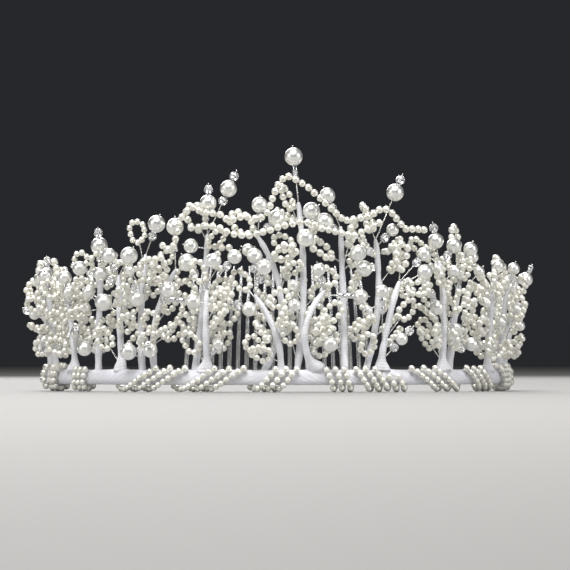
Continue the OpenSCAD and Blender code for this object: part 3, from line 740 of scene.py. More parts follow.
def thread_group(name: str) -> bpy.types.NodeTree:
    """Node group for fine parallel threads that are wound round a core.

    The wrap map gives the share of a turn and the millimetres along the core. Threads Round times
    the first plus Threads Along times the second is the phase of a sine, with a little noise. Its
    height makes the threads, and the grooves between them get painted shade, the Second colour, in patches.

    Args:
        name: Name of the group.

    Returns:
        The group.
    """
    inputs = {
        "Main": (COLOUR, WHITE),
        "Second": (COLOUR, WHITE),
        "Threads Round": (NUMBER, 1.0),
        "Threads Along": (NUMBER, 4.0),
        "Roughness": (NUMBER, 0.5),
    }
    stray_scale, stray_share = 700.0, 1.1
    shade_patch_scale, shade_patch_share, least_shade = 180.0, 0.7, 0.15
    groove_roughness = 0.18
    nodes, given = new_group(name, inputs)
    wrap = nodes.add("ShaderNodeUVMap", {"uv_map": "wrap"}).outputs["UV"]
    parts = nodes.add("ShaderNodeSeparateXYZ", Vector=wrap).outputs
    rounds = nodes.times(parts["X"], given["Threads Round"])
    steps = nodes.times(parts["Y"], given["Threads Along"])
    stray = nodes.times(nodes.noise(stray_scale, 3.0), stray_share)
    phase = nodes.plus(nodes.plus(rounds, steps), stray)
    wave = nodes.math("SINE", nodes.times(phase, 2 * np.pi))
    height = nodes.plus(nodes.times(wave, 0.5), 0.5)
    # Painted shade: the grooves between the threads are darkened toward the Second colour, more in some
    # patches.
    shade = nodes.minus(1.0, height)
    patches = nodes.plus(nodes.times(nodes.noise(shade_patch_scale, 2.0), shade_patch_share), least_shade)
    colour = nodes.blend(nodes.times(shade, patches), given["Main"], given["Second"])
    rough = nodes.plus(given["Roughness"], nodes.times(shade, groove_roughness))
    nodes.add("NodeGroupOutput", Color=colour, Roughness=rough, Height=height)
    return nodes.tree


@dataclass(frozen=True, kw_only=True)
class Finish:
    """Finish on a Principled shader, whose colour and gloss come from a node group."""

    name: str
    slot: Slot
    main: tuple[float, float, float]
    second: tuple[float, float, float]
    rough: float
    bump: float = 0.0
    bump_mm: float = 0.02
    sockets: dict[str, float] = field(default_factory=dict)

    def group(self) -> bpy.types.NodeTree:
        """Node group of the finish."""
        raise NotImplementedError

    def values(self) -> dict[str, object]:
        """Values of the group's inputs."""
        return {"Main": (*self.main, 1), "Second": (*self.second, 1), "Roughness": self.rough}

    def material(self) -> bpy.types.Material:
        """Builds the finish once and gives it again when it is asked for later.

        Returns:
            The material.
        """
        known = bpy.data.materials.get(self.name)
        if known:
            return known
        material = bpy.data.materials.new(self.name)
        material.use_nodes = True
        material.node_tree.nodes.clear()
        nodes = Nodes(material.node_tree)
        group = nodes.add("ShaderNodeGroup", {"node_tree": self.group()}, **self.values()).outputs
        surface = {"Base Color": group["Color"], "Roughness": group["Roughness"], **self.sockets}
        if self.bump:
            sizes = {"Strength": self.bump, "Distance": self.bump_mm * MM}
            relief = nodes.add("ShaderNodeBump", Height=group["Height"], **sizes)
            surface["Normal"] = relief.outputs["Normal"]
        shader = nodes.add("ShaderNodeBsdfPrincipled", **surface)
        nodes.add("ShaderNodeOutputMaterial", Surface=shader.outputs["BSDF"])
        return material


@dataclass(frozen=True, kw_only=True)
class Clouded(Finish):
    """Finish that changes slowly from one colour to another over a surface."""

    scale: float
    tint: float = 0.0
    cloud: float
    spread: float = 0.06

    def group(self) -> bpy.types.NodeTree:
        """Node group of the slow changes."""
        return bpy.data.node_groups.get("slow_cloud") or cloud_group("slow_cloud")

    def values(self) -> dict[str, object]:
        """Values of the group's inputs."""
        shares = {"Tint Share": self.tint, "Cloud Share": self.cloud, "Roughness Spread": self.spread}
        return super().values() | {"Scale": self.scale} | shares


@dataclass(frozen=True, kw_only=True)
class Wound(Finish):
    """Finish of floss that is wound round a core, with painted shade in its grooves as the second colour."""

    threads_round: float
    threads_along: float

    def group(self) -> bpy.types.NodeTree:
        """Node group of the parallel threads."""
        return bpy.data.node_groups.get("wound_threads") or thread_group("wound_threads")

    def values(self) -> dict[str, object]:
        """Values of the group's inputs."""
        threads = {"Threads Round": self.threads_round, "Threads Along": self.threads_along}
        return super().values() | threads


LARGE_PEARL = Clouded(
    name="white_pearl", slot=Slot.LARGE_PEARL, main=(0.97, 0.97, 0.955), second=(0.93, 0.925, 0.88),
    scale=260.0, tint=0.45, cloud=0.4, rough=0.36, bump=0.08,
    sockets={"Metallic": 0.85, "Coat Weight": 0.7, "Coat Roughness": 0.08},
)
SMALL_PEARL = Clouded(
    name="ivory_pearl", slot=Slot.SMALL_PEARL, main=(0.97, 0.96, 0.91), second=(0.92, 0.895, 0.80),
    scale=420.0, tint=0.7, cloud=0.35, rough=0.3, bump=0.08,
    sockets={"Metallic": 0.72, "Coat Weight": 0.9, "Coat Roughness": 0.07},
)
CRYSTAL = Clouded(
    name="faceted_glass", slot=Slot.CRYSTAL, main=(0.99, 0.99, 1.0), second=(0.95, 0.97, 1.0),
    scale=260.0, cloud=0.5, rough=0.0, spread=0.0,
    sockets={"Transmission Weight": 0.88, "IOR": 1.56},
)
LINED_GLASS = Clouded(
    name="silver_lined_glass", slot=Slot.CRYSTAL, main=(0.93, 0.94, 0.95), second=(0.66, 0.67, 0.70),
    scale=700.0, tint=0.3, cloud=0.8, rough=0.12, spread=0.08,
    sockets={"Metallic": 0.85, "Coat Weight": 1.0, "Coat Roughness": 0.03},
)
PLASTIC = Clouded(
    name="comb_plastic", slot=Slot.PLASTIC, main=(0.97, 0.98, 0.98), second=(0.92, 0.94, 0.95),
    scale=90.0, cloud=0.5, rough=0.07, spread=0.05, bump=0.05,
    sockets={"Transmission Weight": 0.8, "IOR": 1.49},
)
WIRE = Clouded(
    name="bright_wire", slot=Slot.WIRE, main=(0.86, 0.86, 0.85), second=(0.70, 0.69, 0.66),
    scale=500.0, cloud=0.8, rough=0.24, spread=0.12, bump=0.1,
    sockets={"Metallic": 1.0},
)
THREAD = Clouded(
    name="bead_thread", slot=Slot.FLOSS, main=(0.85, 0.84, 0.80), second=(0.70, 0.68, 0.62),
    scale=900.0, cloud=0.7, rough=0.6,
    sockets={"Sheen Weight": 0.2},
)
# The second colour of each floss is painted shade, a dark lavender laid into the grooves between its threads.
BAND_FLOSS = Wound(
    name="band_floss", slot=Slot.FLOSS, main=(0.93, 0.93, 0.96), second=(0.45, 0.46, 0.6),
    threads_round=48.0, threads_along=1.5, rough=0.42, bump=0.5, bump_mm=0.05,
    sockets={"Sheen Weight": 0.25, "Sheen Roughness": 0.35, "Coat Weight": 0.1, "Coat Roughness": 0.35},
)
STEM_FLOSS = Wound(
    name="stem_floss", slot=Slot.FLOSS, main=(0.93, 0.93, 0.95), second=(0.5, 0.51, 0.62),
    threads_round=1.0, threads_along=4.4, rough=0.45, bump=0.45, bump_mm=0.04,
    sockets={"Sheen Weight": 0.25, "Sheen Roughness": 0.35},
)


def add_piece(name: str, patch: Patch, finish: Finish, *nodes: str, smooth: bool = True) -> None:
    """Makes a surface one piece of the scene.

    Args:
        name: Name of the piece.
        patch: Its surface, in millimetres.
        finish: Its finish.
        nodes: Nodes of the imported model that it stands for.
        smooth: Whether light runs smoothly over its faces.
    """
    mesh = bpy.data.meshes.new(name)
    mesh.from_pydata((patch.points * MM).tolist(), [], patch.quads.tolist() + patch.tris.tolist())
    wrap = mesh.uv_layers.new(name="wrap")
    wrap.data.foreach_set("uv", np.concatenate([patch.quad_wrap.ravel(), patch.tri_wrap.ravel()]))
    tint = mesh.attributes.new("tint", "FLOAT", "POINT")
    tint.data.foreach_set("value", np.broadcast_to(patch.tint, len(patch.points)).astype(np.float32))
    mesh.polygons.foreach_set("use_smooth", np.full(len(mesh.polygons), smooth))
    mesh.materials.append(finish.material())
    mesh.update()
    piece = bpy.data.objects.new(name, mesh)
    bpy.context.scene.collection.objects.link(piece)
    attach(piece, BODY)
    if nodes:
        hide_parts(*nodes)
    LOG.info("%s: %d faces, stands for %s", name, len(mesh.polygons), ", ".join(nodes) or "no node")


@dataclass
class PearlString:
    """Small pearls side by side along a path, on a thread."""

    path: np.ndarray
    size: float
    closed: bool = False
    thread_d: float = 0.28
    thread_sides: int = 5
    wander: float = 0.03
    size_spread: tuple[float, float] = (0.95, 1.03)
    tangent_reach: float = 0.2

    def whole(self) -> np.ndarray:
        """Path with its first point again at the end where it is closed."""
        return np.concatenate([self.path, self.path[:1]]) if self.closed else self.path

    def stops(self) -> tuple[np.ndarray, float]:
        """Where the pearls stand, at equal steps.

        Returns:
            Length along the path at each pearl, and the step.
        """
        total = lengths(self.whole())[-1]
        if self.closed:
            count = max(3, round(total / self.size))
            return (np.arange(count) + 0.5) * total / count, total / count
        count = max(2, int(total / self.size))
        step = (total - self.size) / (count - 1)
        return self.size / 2 + np.arange(count) * step, step

    def middles(self) -> np.ndarray:
        """Middle of each pearl."""
        return along(self.whole(), self.stops()[0])

    def surfaces(self, rng: np.random.Generator) -> tuple[Patch, Patch]:
        """Surface of the pearls and of the thread through them.

        Each pearl is moved and scaled a little, as in a row that is strung by hand.

        Args:
            rng: Source of the small differences.

        Returns:
            The pearls and the thread.
        """
        at, step = self.stops()
        whole, reach = self.whole(), self.tangent_reach
        total = lengths(whole)[-1]
        ahead, behind = (along(whole, np.clip(at + s, 0, total)) for s in (reach, -reach))
        count = len(at)
        centres = along(whole, at) + rng.normal(0, self.wander * self.size, (count, 3))
        sizes = min(self.size, step) * rng.uniform(*self.size_spread, count)
        pearls = small_ball().strung(centres, ahead - behind, sizes, rng.uniform(0, 1, count))
        radii = np.full(len(self.path), self.thread_d / 2)
        side = place(0, 0, 0) * [0, 1, 0] + SKEW
        return pearls, swept(self.path, circles(radii, self.thread_sides), side, self.closed)


def add_strings(
    names: tuple[str, str], strings: list[PearlString], rng: np.random.Generator, *nodes: str
) -> None:
    """Adds the pearls of some strings as one piece and the threads through them as another.

    Args:
        names: Names of the two pieces.
        strings: The strings.
        rng: Source of the pearls' small differences.
        nodes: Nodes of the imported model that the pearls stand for.
    """
    pearls, threads = zip(*(string.surfaces(rng) for string in strings))
    add_piece(names[0], Patch.joined(list(pearls)), SMALL_PEARL, *nodes)
    add_piece(names[1], Patch.joined(list(threads)), THREAD)


class Crowd:
    """Balls that stand for everything built so far, so that a further ring finds a free place."""

    def __init__(self) -> None:
        """Starts with no balls."""
        self.centres = np.zeros((0, 3))
        self.radii = np.zeros(0)

    def add(self, centres: np.ndarray, radius: float) -> None:
        """Adds balls of one radius at some middles."""
        self.centres = np.concatenate([self.centres, centres])
        self.radii = np.concatenate([self.radii, np.full(len(centres), radius)])

    def add_string(self, string: PearlString) -> None:
        """Adds the pearls of a string."""
        self.add(string.middles(), string.size / 2)

    def fits(self, string: PearlString, touch: float) -> bool:
        """Whether a string finds room.

        Args:
            string: The string.
            touch: How deep its pearls may go into what is there already.

        Returns:
            Whether no pearl goes deeper.
        """
        gaps = np.linalg.norm(string.middles()[:, None] - self.centres, axis=-1) - self.radii
        return bool(gaps.min() > string.size / 2 - touch)


@dataclass
class Band:
    """C-shaped base band, wound with floss whose bundles run at a slant."""

    bundles: int = 12
    turn_length: float = 32.0
    bundle_depth: float = 0.15
    squareness: float = 2.5
    toe_height: float = 0.8
    toe_length: float = 3.6
    heel_length: float = 1.8
    rings: int = 620
    sides: int = 72
    end_rings: int = 10

    def surface(self) -> Patch:
        """Wound surface of the band.

        The section is a superellipse of the band's thickness and height, grooved between the
        bundles and scaled down to a point over each rounded end. A Gaussian of the way along the
        band raises it at the feet of the front stems, where the stem's wires run on along the
        band away from the middle.

        Returns:
            The closed surface.
        """
        half_t, half_h = SIZES.band_thickness / 2, SIZES.band_height / 2
        degrees = 180 / (np.pi * SIZES.band_radius)
        psi = round_end(self.end_rings)
        tip_az = SIZES.band_reach + half_t * np.sin(psi) * degrees
        main_az = np.linspace(-SIZES.band_reach, SIZES.band_reach, self.rings)
        az = np.concatenate([-tip_az[::-1], main_az, tip_az])
        scale = np.concatenate([np.cos(psi)[::-1], np.ones(self.rings), np.cos(psi)])[:, None]
        a = angles(self.sides)
        run = az[:, None] / degrees
        groove = grooves(self.bundles * (a / (2 * np.pi) + np.abs(run) / self.turn_length), self.bundle_depth)
        feet = np.array([s.foot[0] for s in SPRAYS if s.in_front()]) / degrees
        past = (run - feet) * np.sign(feet)
        near = np.exp(-((past / np.where(past > 0, self.toe_length, self.heel_length)) ** 2)).max(axis=1)
        lift = self.toe_height * near[:, None] * np.clip(np.sin(a), 0, 1) ** 2
        x, z = squared(a, 2 / self.squareness).T
        out = scale * (half_t + groove) * x
        up = scale * ((half_h + groove) * z + lift)
        section = np.stack([out, -up], axis=-1)[:, ::-1]
        return swept(place(az, half_h, 0.0), section, outward(np.radians(az)))

    def build(self) -> None:
        """Adds the band."""
        add_piece("floss_band", self.surface(), BAND_FLOSS, "band")


@dataclass
class Stems:
    """Floss-wrapped stems of every spray, wound with turns that stand out a little."""

    pitch: float = 1.0
    rows_a_turn: int = 5
    sides: int = 16
    turn_depth: float = 0.13
    sunk: float = 0.9
    toe: float = 1.3
    toe_height: float = 2.6
    heel: float = 0.25
    uneven: float = 0.05
    waves: tuple[tuple[float, float], ...] = ((0.9, 7.0), (1.7, 14.7), (3.9, 4.9))
    run_out: float = 3.5
    run_out_share: float = 0.35
    tip_length: float = 0.8
    tip_rows: int = 5
    line_points: int = 60
    crowd_balls: int = 50

    def surface(self, spray: Spray) -> Patch:
        """Wound surface of one stem.

        The radius tapers evenly, runs out to the wires near the tip, and swells at a front stem's
        foot as the square of what is left of the flare. Sines of the length, each with a length
        and a shift for each degree of the foot's angle, make it uneven, and the wound turns are
        grooved. By a Gaussian of the height the foot widens along the band, most of it away from
        the middle of the front.

        Args:
            spray: The spray whose stem is built.

        Returns:
            The closed surface.
        """
        rough = spray.at(np.linspace(0, 1, self.line_points))
        total = lengths(rough)[-1]
        share = np.linspace(0, 1, int(total / self.pitch * self.rows_a_turn))
        run = share * total
        path = along(rough, run)
        rise = path[:, 2] - path[0, 2]
        near = float(spray.in_front())
        flare = near * np.clip(1 - rise / SIZES.foot_flare, 0, 1) ** 2
        radius = mix(SIZES.stem_d, SIZES.stem_tip_d, share) / 2
        radius += (SIZES.stem_foot_d - SIZES.stem_d) / 2 * flare
        waves = sum(np.sin(run / length + shift * spray.foot[0]) for length, shift in self.waves)
        last = np.clip(1 - (total - run) / self.run_out, 0, 1) ** 2
        radius *= (1 + self.uneven * waves) * (1 - self.run_out_share * last)
        foot = path[0] - UP * self.sunk
        psi = round_end(self.tip_rows)
        ahead = unit(path[-1] - path[-2])
        tip = path[-1] + ahead * (radius[-1] * self.tip_length * np.sin(psi))[:, None]
        path = np.concatenate([foot[None], path, tip])
        radius = np.concatenate([radius[:1], radius, radius[-1] * np.cos(psi)])
        rise = np.concatenate([[0], rise, np.full(len(psi), rise[-1])])
        a = angles(self.sides)
        groove = grooves(lengths(path)[:, None] / self.pitch - a / (2 * np.pi), self.turn_depth)
        away = np.cos(a) * np.sign(spray.foot[0])
        wide = self.toe * np.clip(away, 0, 1) ** 2 + self.heel * np.clip(-away, 0, 1) ** 2
        spread = 1 + near * np.exp(-((rise / self.toe_height) ** 2))[:, None] * wide
        sideways = outward(np.radians(spray.foot[0] + 90))
        return swept(path, circles(radius[:, None] * spread + groove, self.sides), sideways)

    def build(self, crowd: Crowd) -> None:
        """Adds each stem.

        Args:
            crowd: Takes balls along the stems.
        """
        for number, spray in enumerate(SPRAYS, start=1):
            crowd.add(spray.at(np.linspace(0, 1, self.crowd_balls)), SIZES.stem_d / 2)
            add_piece(f"floss_stem_{number:02d}", self.surface(spray), STEM_FLOSS, f"stem_{number:02d}")


@dataclass
class Wires:
    """Bare silver wires from the stems to their pearls and rings, each two strands twisted."""

    strand_d: float = 0.28
    twist: float = 1.3
    rows_a_turn: int = 6
    sides: int = 5
    past_bead: float = 0.7

    def twisted(self, start: np.ndarray, end: np.ndarray) -> Patch:
        """Two strands that turn round a straight line, half a turn apart.

        Args:
            start: Where the wire leaves its stem.
            end: Where it ends.

        Returns:
            Both strands.
        """
        total = float(np.linalg.norm(end - start))
        line = unit(end - start)
        at = np.linspace(0, total, max(4, int(total / self.twist * self.rows_a_turn)))
        x = across(SKEW, line)
        y = np.cross(line, x)
        offset = (SIZES.wire_d - self.strand_d) / 2
        section = circles(np.full(len(at), self.strand_d / 2), self.sides)
        strands = []
        for half in (0, np.pi):
            a = (2 * np.pi * at / self.twist + half)[:, None]
            path = start + at[:, None] * line + offset * (np.cos(a) * x + np.sin(a) * y)
            strands.append(swept(path, section, line + SKEW))
        return Patch.joined(strands)

    def build(self, rings: dict[str, list[Ring]]) -> None:
        """Adds the wires of each sector.

        Args:
            rings: Rings of each sector.
        """
        for sector in SECTORS:
            parts = []
            for spray, twig in sector_twigs(sector):
                past = twig.size / 2 + Beads.stack(twig.above) + self.past_bead
                parts.append(self.twisted(spray.at(twig.root), twig.middle() + spray.line(twig) * past))
            parts += [self.twisted(*ring.wire()) for ring in rings[sector]]
            add_piece(f"wires_{sector}", Patch.joined(parts), WIRE)


@dataclass
class Beads:
    """Large pearls, cut crystals and bugle beads on the twigs."""

    pearl_sides: int = 28
    pearl_bands: int = 18
    lip: float = 0.12
    cut_sides: int = 6
    cut_radii: tuple[float, ...] = (0.28, 0.5, 0.5, 0.28)
    cut_heights: tuple[float, ...] = (-0.46, -0.46, -0.15, 0.15, 0.46, 0.46)
    bugle_sides: int = 12
    bugle_edge: float = 0.15

    @staticmethod
    def step(kind: Bead) -> float:
        """Length that one bead of a kind takes on the wire, with the gap beside it."""
        return (SIZES.crystal_d if kind is CUT else SIZES.bugle_length) + SIZES.bead_gap

    @staticmethod
    def count(kind: Bead) -> int:
        """Number of beads that a kind stands for."""
        return {NONE: 0, CUT: 1, BUGLE: 1, PAIR: 2}[kind]

    @staticmethod
    def stack(kind: Bead) -> float:
        """Length that all beads of a kind take on the wire."""
        return Beads.count(kind) * Beads.step(kind)

    def pearl(self, size: float) -> Patch:
        """Drilled pearl of one size.

        The profile is an arc of the sphere from one mouth of the hole to the other, with a small
        lip, and goes back down the hole's wall.

        Args:
            size: Diameter of the pearl.

        Returns:
            The closed surface, with its hole on the Z axis.
        """
        bore, ball = SIZES.bore_d / 2, size / 2
        start = np.arcsin((bore + self.lip) / ball)
        a = np.linspace(start, np.pi - start, self.pearl_bands)
        mouth = ball * np.cos(start) - self.lip
        radii = np.concatenate([ball * np.sin(a), [bore, bore]])
        heights = np.concatenate([-ball * np.cos(a), [mouth, -mouth]])
        return turned(radii, heights, self.pearl_sides, closed=True)

    def crystal(self) -> Patch:
        """Round cut bead with facets between two tables.

        Rows of corners at falling and rising radii, every other row turned by half a step, make
        the triangles. The bead is drilled, and its first and last rows are the hole's edges.

        Returns:
            The closed surface at its real size, with its hole on the Z axis.
        """
        bore = SIZES.bore_d / 2 / SIZES.crystal_d
        radii = np.array([bore, *self.cut_radii, bore])
        rows, cols = len(radii), self.cut_sides
        i, j = np.meshgrid(np.arange(rows), np.arange(cols), indexing="ij")
        a = (j + 0.5 * (i % 2)) * 2 * np.pi / cols
        x, y, z = radii[i] * np.cos(a), radii[i] * np.sin(a), np.array(self.cut_heights)[i]
        corner = i * cols + j
        beside = np.roll(corner, -1, axis=1)
        low, low_next, high, high_next = corner[:-1], beside[:-1], corner[1:], beside[1:]
        odd = i[:-1] % 2 == 1
        first = np.stack([low, low_next, np.where(odd, high_next, high)], axis=-1).reshape(-1, 3)
        second = np.stack([np.where(odd, low, low_next), high_next, high], axis=-1).reshape(-1, 3)
        wall = np.stack([corner[-1], beside[-1], beside[0], corner[0]], axis=-1)
        tris = np.concatenate([first, second])
        return Patch(
            points=np.stack([x, y, z], axis=-1).reshape(-1, 3) * SIZES.crystal_d,
            quads=wall,
            quad_wrap=np.zeros((len(wall), 4, 2)),
            tris=tris,
            tri_wrap=np.zeros((len(tris), 3, 2)),
        )

    def bugle(self) -> Patch:
        """Short glass tube with its edges broken, and the hole through it.

        Returns:
            The closed surface, with its hole on the Z axis.
        """
        outer, inner, half = SIZES.bugle_d / 2, SIZES.bore_d / 2, SIZES.bugle_length / 2
        edge = self.bugle_edge
        radii = np.array([outer - edge, outer, outer, outer - edge, inner, inner])
        heights = np.array([-half, edge - half, half - edge, half, half, -half])
        return turned(radii, heights, self.bugle_sides, closed=True)

    def beside(self, sector: str, *wanted: Bead) -> tuple[np.ndarray, np.ndarray]:
        """Middles and directions of the beads of some kinds in a sector.

        Args:
            sector: Name of the sector.
            wanted: Kinds that are asked for.

        Returns:
            Middles and directions, one row for each bead.
        """
        middles, lines = [], []
        for spray, twig in sector_twigs(sector):
            line = spray.line(twig)
            for side, kind in ((-1, twig.below), (1, twig.above)):
                step = self.step(kind)
                for k in range(self.count(kind) if kind in wanted else 0):
                    run = twig.size / 2 + SIZES.bead_gap / 2 + (k + 0.5) * step
                    middles.append(twig.middle() + side * run * line)
                    lines.append(line)
        return np.array(middles), np.array(lines)

    def build(self, rng: np.random.Generator, crowd: Crowd) -> None:
        """Adds the pearls, crystals and bugle beads of each sector.

        Args:
            rng: Source of the beads' small differences.
            crowd: Takes a ball for each bead.
        """
        for sector in SECTORS:
            parts = []
            for spray, twig in sector_twigs(sector):
                where, line = twig.middle()[None], spray.line(twig)[None]
                crowd.add(where, twig.size / 2)
                parts.append(self.pearl(twig.size).strung(where, line, np.ones(1), rng.uniform(0, 1, 1)))
            add_piece(f"white_pearls_{sector}", Patch.joined(parts), LARGE_PEARL, f"pearls_{sector}")
            for word, bead, length, finish, kinds in (
                ("cut_crystals", self.crystal(), SIZES.crystal_d, CRYSTAL, (CUT,)),
                ("bugles", self.bugle(), SIZES.bugle_length, LINED_GLASS, (BUGLE, PAIR)),
            ):
                middles, lines = self.beside(sector, *kinds)
                count = len(middles)
                if count:
                    crowd.add(middles, length / 2)
                    beads = bead.strung(middles, lines, np.ones(count), rng.uniform(0, 1, count))
                    smooth = finish is LINED_GLASS
                    add_piece(f"{word}_{sector}", beads, finish, f"crystals_{sector}", smooth=smooth)


@dataclass
class Ring:
    """One oval ring of small pearls on its wire, as it is bent by hand."""

    spray: Spray
    loop: Loop
    points: int = 36

    def path(self, warp: float = 0.0) -> np.ndarray:
        """Middle line of the ring.

        Two half circles stand apart by the straight sides. The long axis follows the wire, and
        the plane is turned about that wire from the way along the band. The warp lifts the line
        out of its plane by the sine of twice the angle round it.

        Args:
            warp: Height of the warp.

        Returns:
            Points round the ring from its lowest one.
        """
        loop, line = self.loop, self.spray.line(self.loop)
        x = across(outward(np.radians(loop.az + 90)), line)
        y = np.cross(line, x)
        turn = np.radians(loop.turn)
        flat = np.cos(turn) * x + np.sin(turn) * y
        normal = np.cross(flat, line)
        a = (np.arange(self.points) + 0.5)[:, None] * 2 * np.pi / self.points - np.pi / 2
        sideways = loop.round_radius() * np.cos(a)
        lengthways = loop.round_radius() * np.sin(a) + loop.straight() * np.sign(np.sin(a))
        return loop.middle() + sideways * flat + lengthways * line + warp * np.sin(2 * a) * normal

    def wire(self) -> tuple[np.ndarray, np.ndarray]:
        """Both ends of the wire that carries the ring."""
        short = self.loop.round_radius() + self.loop.straight()
        return self.spray.at(self.loop.root), self.loop.middle() - self.spray.line(self.loop) * short

    def string(self, warp: float = 0.0) -> PearlString:
        """The ring's pearls on their path."""
        return PearlString(self.path(warp), self.loop.size, True)


@dataclass
class Rings:
    """Rings of small pearls: those of the table, and those that fill the spaces beside them."""

    tries: int = 150
    touch: float = 0.12
    warp: float = 0.35
    size: float = 2.15
    lowest: float = 8.5
    roots: tuple[float, float] = (0.05, 1.0)
    degrees_beside: tuple[float, float] = (-5.0, 5.0)
    above_root: tuple[float, float] = (3.5, 9.0)
    out_of_root: tuple[float, float] = (-5.0, 4.5)
    out_of_band: tuple[float, float] = (-5.5, 6.5)

    def tabled(self, crowd: Crowd) -> dict[str, list[Ring]]:
        """Rings of the table.

        Args:
            crowd: Takes the rings' pearls.

        Returns:
            The rings, by sector.
        """
        found = {name: [Ring(s, l) for s in sector_sprays(name) for l in s.loops] for name in SECTORS}
        for ring in sum(found.values(), []):
            crowd.add_string(ring.string())
        return found

    def guess(self, spray: Spray, above: float, rng: np.random.Generator) -> Ring:
        """One ring at a place near a stem that may or may not be free.

        Args:
            spray: The stem's spray.
            above: How far above the stem's tip a ring may stand.
            rng: Source of the place.

        Returns:
            The ring.
        """
        root = rng.uniform(*self.roots)
        az, up, out = measured(spray.at(root))
        az = az + rng.uniform(*self.degrees_beside)
        up = np.clip(up + rng.uniform(*self.above_root), self.lowest, spray.tip[1] + above)
        out = np.clip(out + rng.uniform(*self.out_of_root), *self.out_of_band)
        return Ring(spray, Loop(root, az, up, out, self.size, rng.uniform(0, 90)))

    def fill(self, crowd: Crowd, rng: np.random.Generator) -> dict[str, list[Ring]]:
        """Rings that fill the spaces beside those of the table.

        Places near each stem are tried in turn, and a ring stays where none of its pearls comes
        into what is there already.

        Args:
            crowd: Everything that is there, which takes each new ring.
            rng: Source of the places.

        Returns:
            The rings, by sector.
        """
        found = {name: [] for name in SECTORS}
        for name, (wanted, above) in FILL.items():
            for spray in sector_sprays(name):
                kept = 0
                for _ in range(self.tries):
                    ring = self.guess(spray, above, rng)
                    if kept < wanted and crowd.fits(ring.string(), self.touch):
                        crowd.add_string(ring.string())
                        found[name].append(ring)
                        kept += 1
        return found

    def build(self, rng: np.random.Generator, rings: dict[str, list[Ring]], kind: str, *nodes: str) -> None:
        """Adds the rings of each sector and the threads through them.

        Args:
            rng: Source of the pearls' small differences.
            rings: Rings of each sector.
            kind: Word for the pieces' names.
            nodes: First word of the nodes that they stand for, where there are any.
        """
        for sector, members in rings.items():
            strings = [ring.string(rng.normal(0, self.warp)) for ring in members]
            names = (f"{kind}_pearls_{sector}", f"{kind}_threads_{sector}")
            add_strings(names, strings, rng, *(f"{node}_{sector}" for node in nodes))


@dataclass
class Windings:
    """Strings of small pearls wound round the band in slanting rows."""

    start: float = -150.0
    points: int = 90
    corner: float = 0.7
    room: float = 0.18
    touch: float = 0.1
    full: int = 3
    row_room: float = 1.16

    def oval(self, angle: np.ndarray) -> np.ndarray:
        """Oval round the band's section.

        Args:
            angle: Angles in degrees, from 0 outside to 90 on top.

        Returns:
            Distances outward and upward at each angle.
        """
        stand = SIZES.wound_d / 2 + self.room
        half = np.array([SIZES.band_thickness / 2 + stand, SIZES.band_height / 2 + stand])
        return half * squared(np.radians(angle), self.corner)

    def string(self, row: list, number: int) -> PearlString:
        """One string of a row of the table.

        Its path is an oval round the band's section, squared off by a power of the sine and
        cosine. The angle along the band grows evenly with the oval's length.

        Args:
            row: The string's row of the table.
            number: Which of its rows, from 0.

        Returns:
            The string.
        """
        under, over, _, end = row
        a = np.linspace(self.start, end, self.points)
        rise = np.pi * (SIZES.band_height / 2 + SIZES.wound_d / 2)
        run = (over - under) * SIZES.band_radius * np.pi / 180
        pitch = self.row_room * (SIZES.wound_d + SIZES.bead_gap) * np.hypot(rise, run) / rise
        fine = np.arange(-270.0, 271.0, 5.0)
        run_round = lengths(self.oval(fine))
        bottom, top = np.interp([-90.0, 90.0], fine, run_round)
        share = (np.interp(a, fine, run_round) - bottom) / (top - bottom)
        az = mix(under, over, share) + number * pitch * 180 / (SIZES.band_radius * np.pi)
        wide, high = self.oval(a).T
        return PearlString(place(az, SIZES.band_height / 2 + high, wide), SIZES.wound_d)

    def build(self, rng: np.random.Generator, crowd: Crowd) -> None:
        """Adds the strings of each half of the band, and one more beside a short row where it fits.

        Args:
            rng: Source of the pearls' small differences.
            crowd: Takes the strings' pearls.
        """
        for name, side in (("left", -1), ("right", 1)):
            rows = [row for row in WINDING_ROWS if side * (row[0] + row[1]) > 0]
            tabled = [self.string(row, k) for row in rows for k in range(row[2])]
            for string in tabled:
                crowd.add_string(string)
            further = []
            for row in rows:
                string = self.string(row, row[2])
                if row[2] < self.full and crowd.fits(string, self.touch):
                    crowd.add_string(string)
                    further.append(string)
            add_strings((f"wound_pearls_{name}", f"wound_threads_{name}"), tabled, rng, f"wound_{name}")
            add_strings((f"further_pearls_{name}", f"further_threads_{name}"), further, rng)


@dataclass
class Garland:
    """String of small pearls that links the tops of the stems."""

    name: str
    route: list
    step: float = 0.3
    ease: int = 7

    def path(self) -> np.ndarray:
        """Middle line of the string: its route in short steps, with the corners averaged out.

        Returns:
            Points along the string.
        """
        corners = place(*np.array(self.route).T)
        fine = along(corners, np.arange(0, lengths(corners)[-1], self.step))
        padded = np.pad(fine, ((self.ease, self.ease), (0, 0)), mode="edge")
        window = np.ones(2 * self.ease + 1) / (2 * self.ease + 1)
        return np.stack([np.convolve(padded[:, k], window, mode="valid") for k in range(3)], axis=-1)

    def build(self, rng: np.random.Generator, crowd: Crowd) -> None:
        """Adds the pearls and their thread.

        Args:
            rng: Source of the pearls' small differences.
            crowd: Takes the garland's pearls.
        """
        string = PearlString(self.path(), SIZES.garland_d)
        crowd.add_string(string)
        names = (f"garland_pearls_{self.name}", f"garland_thread_{self.name}")
        add_strings(names, [string], rng, f"garland_{self.name}")


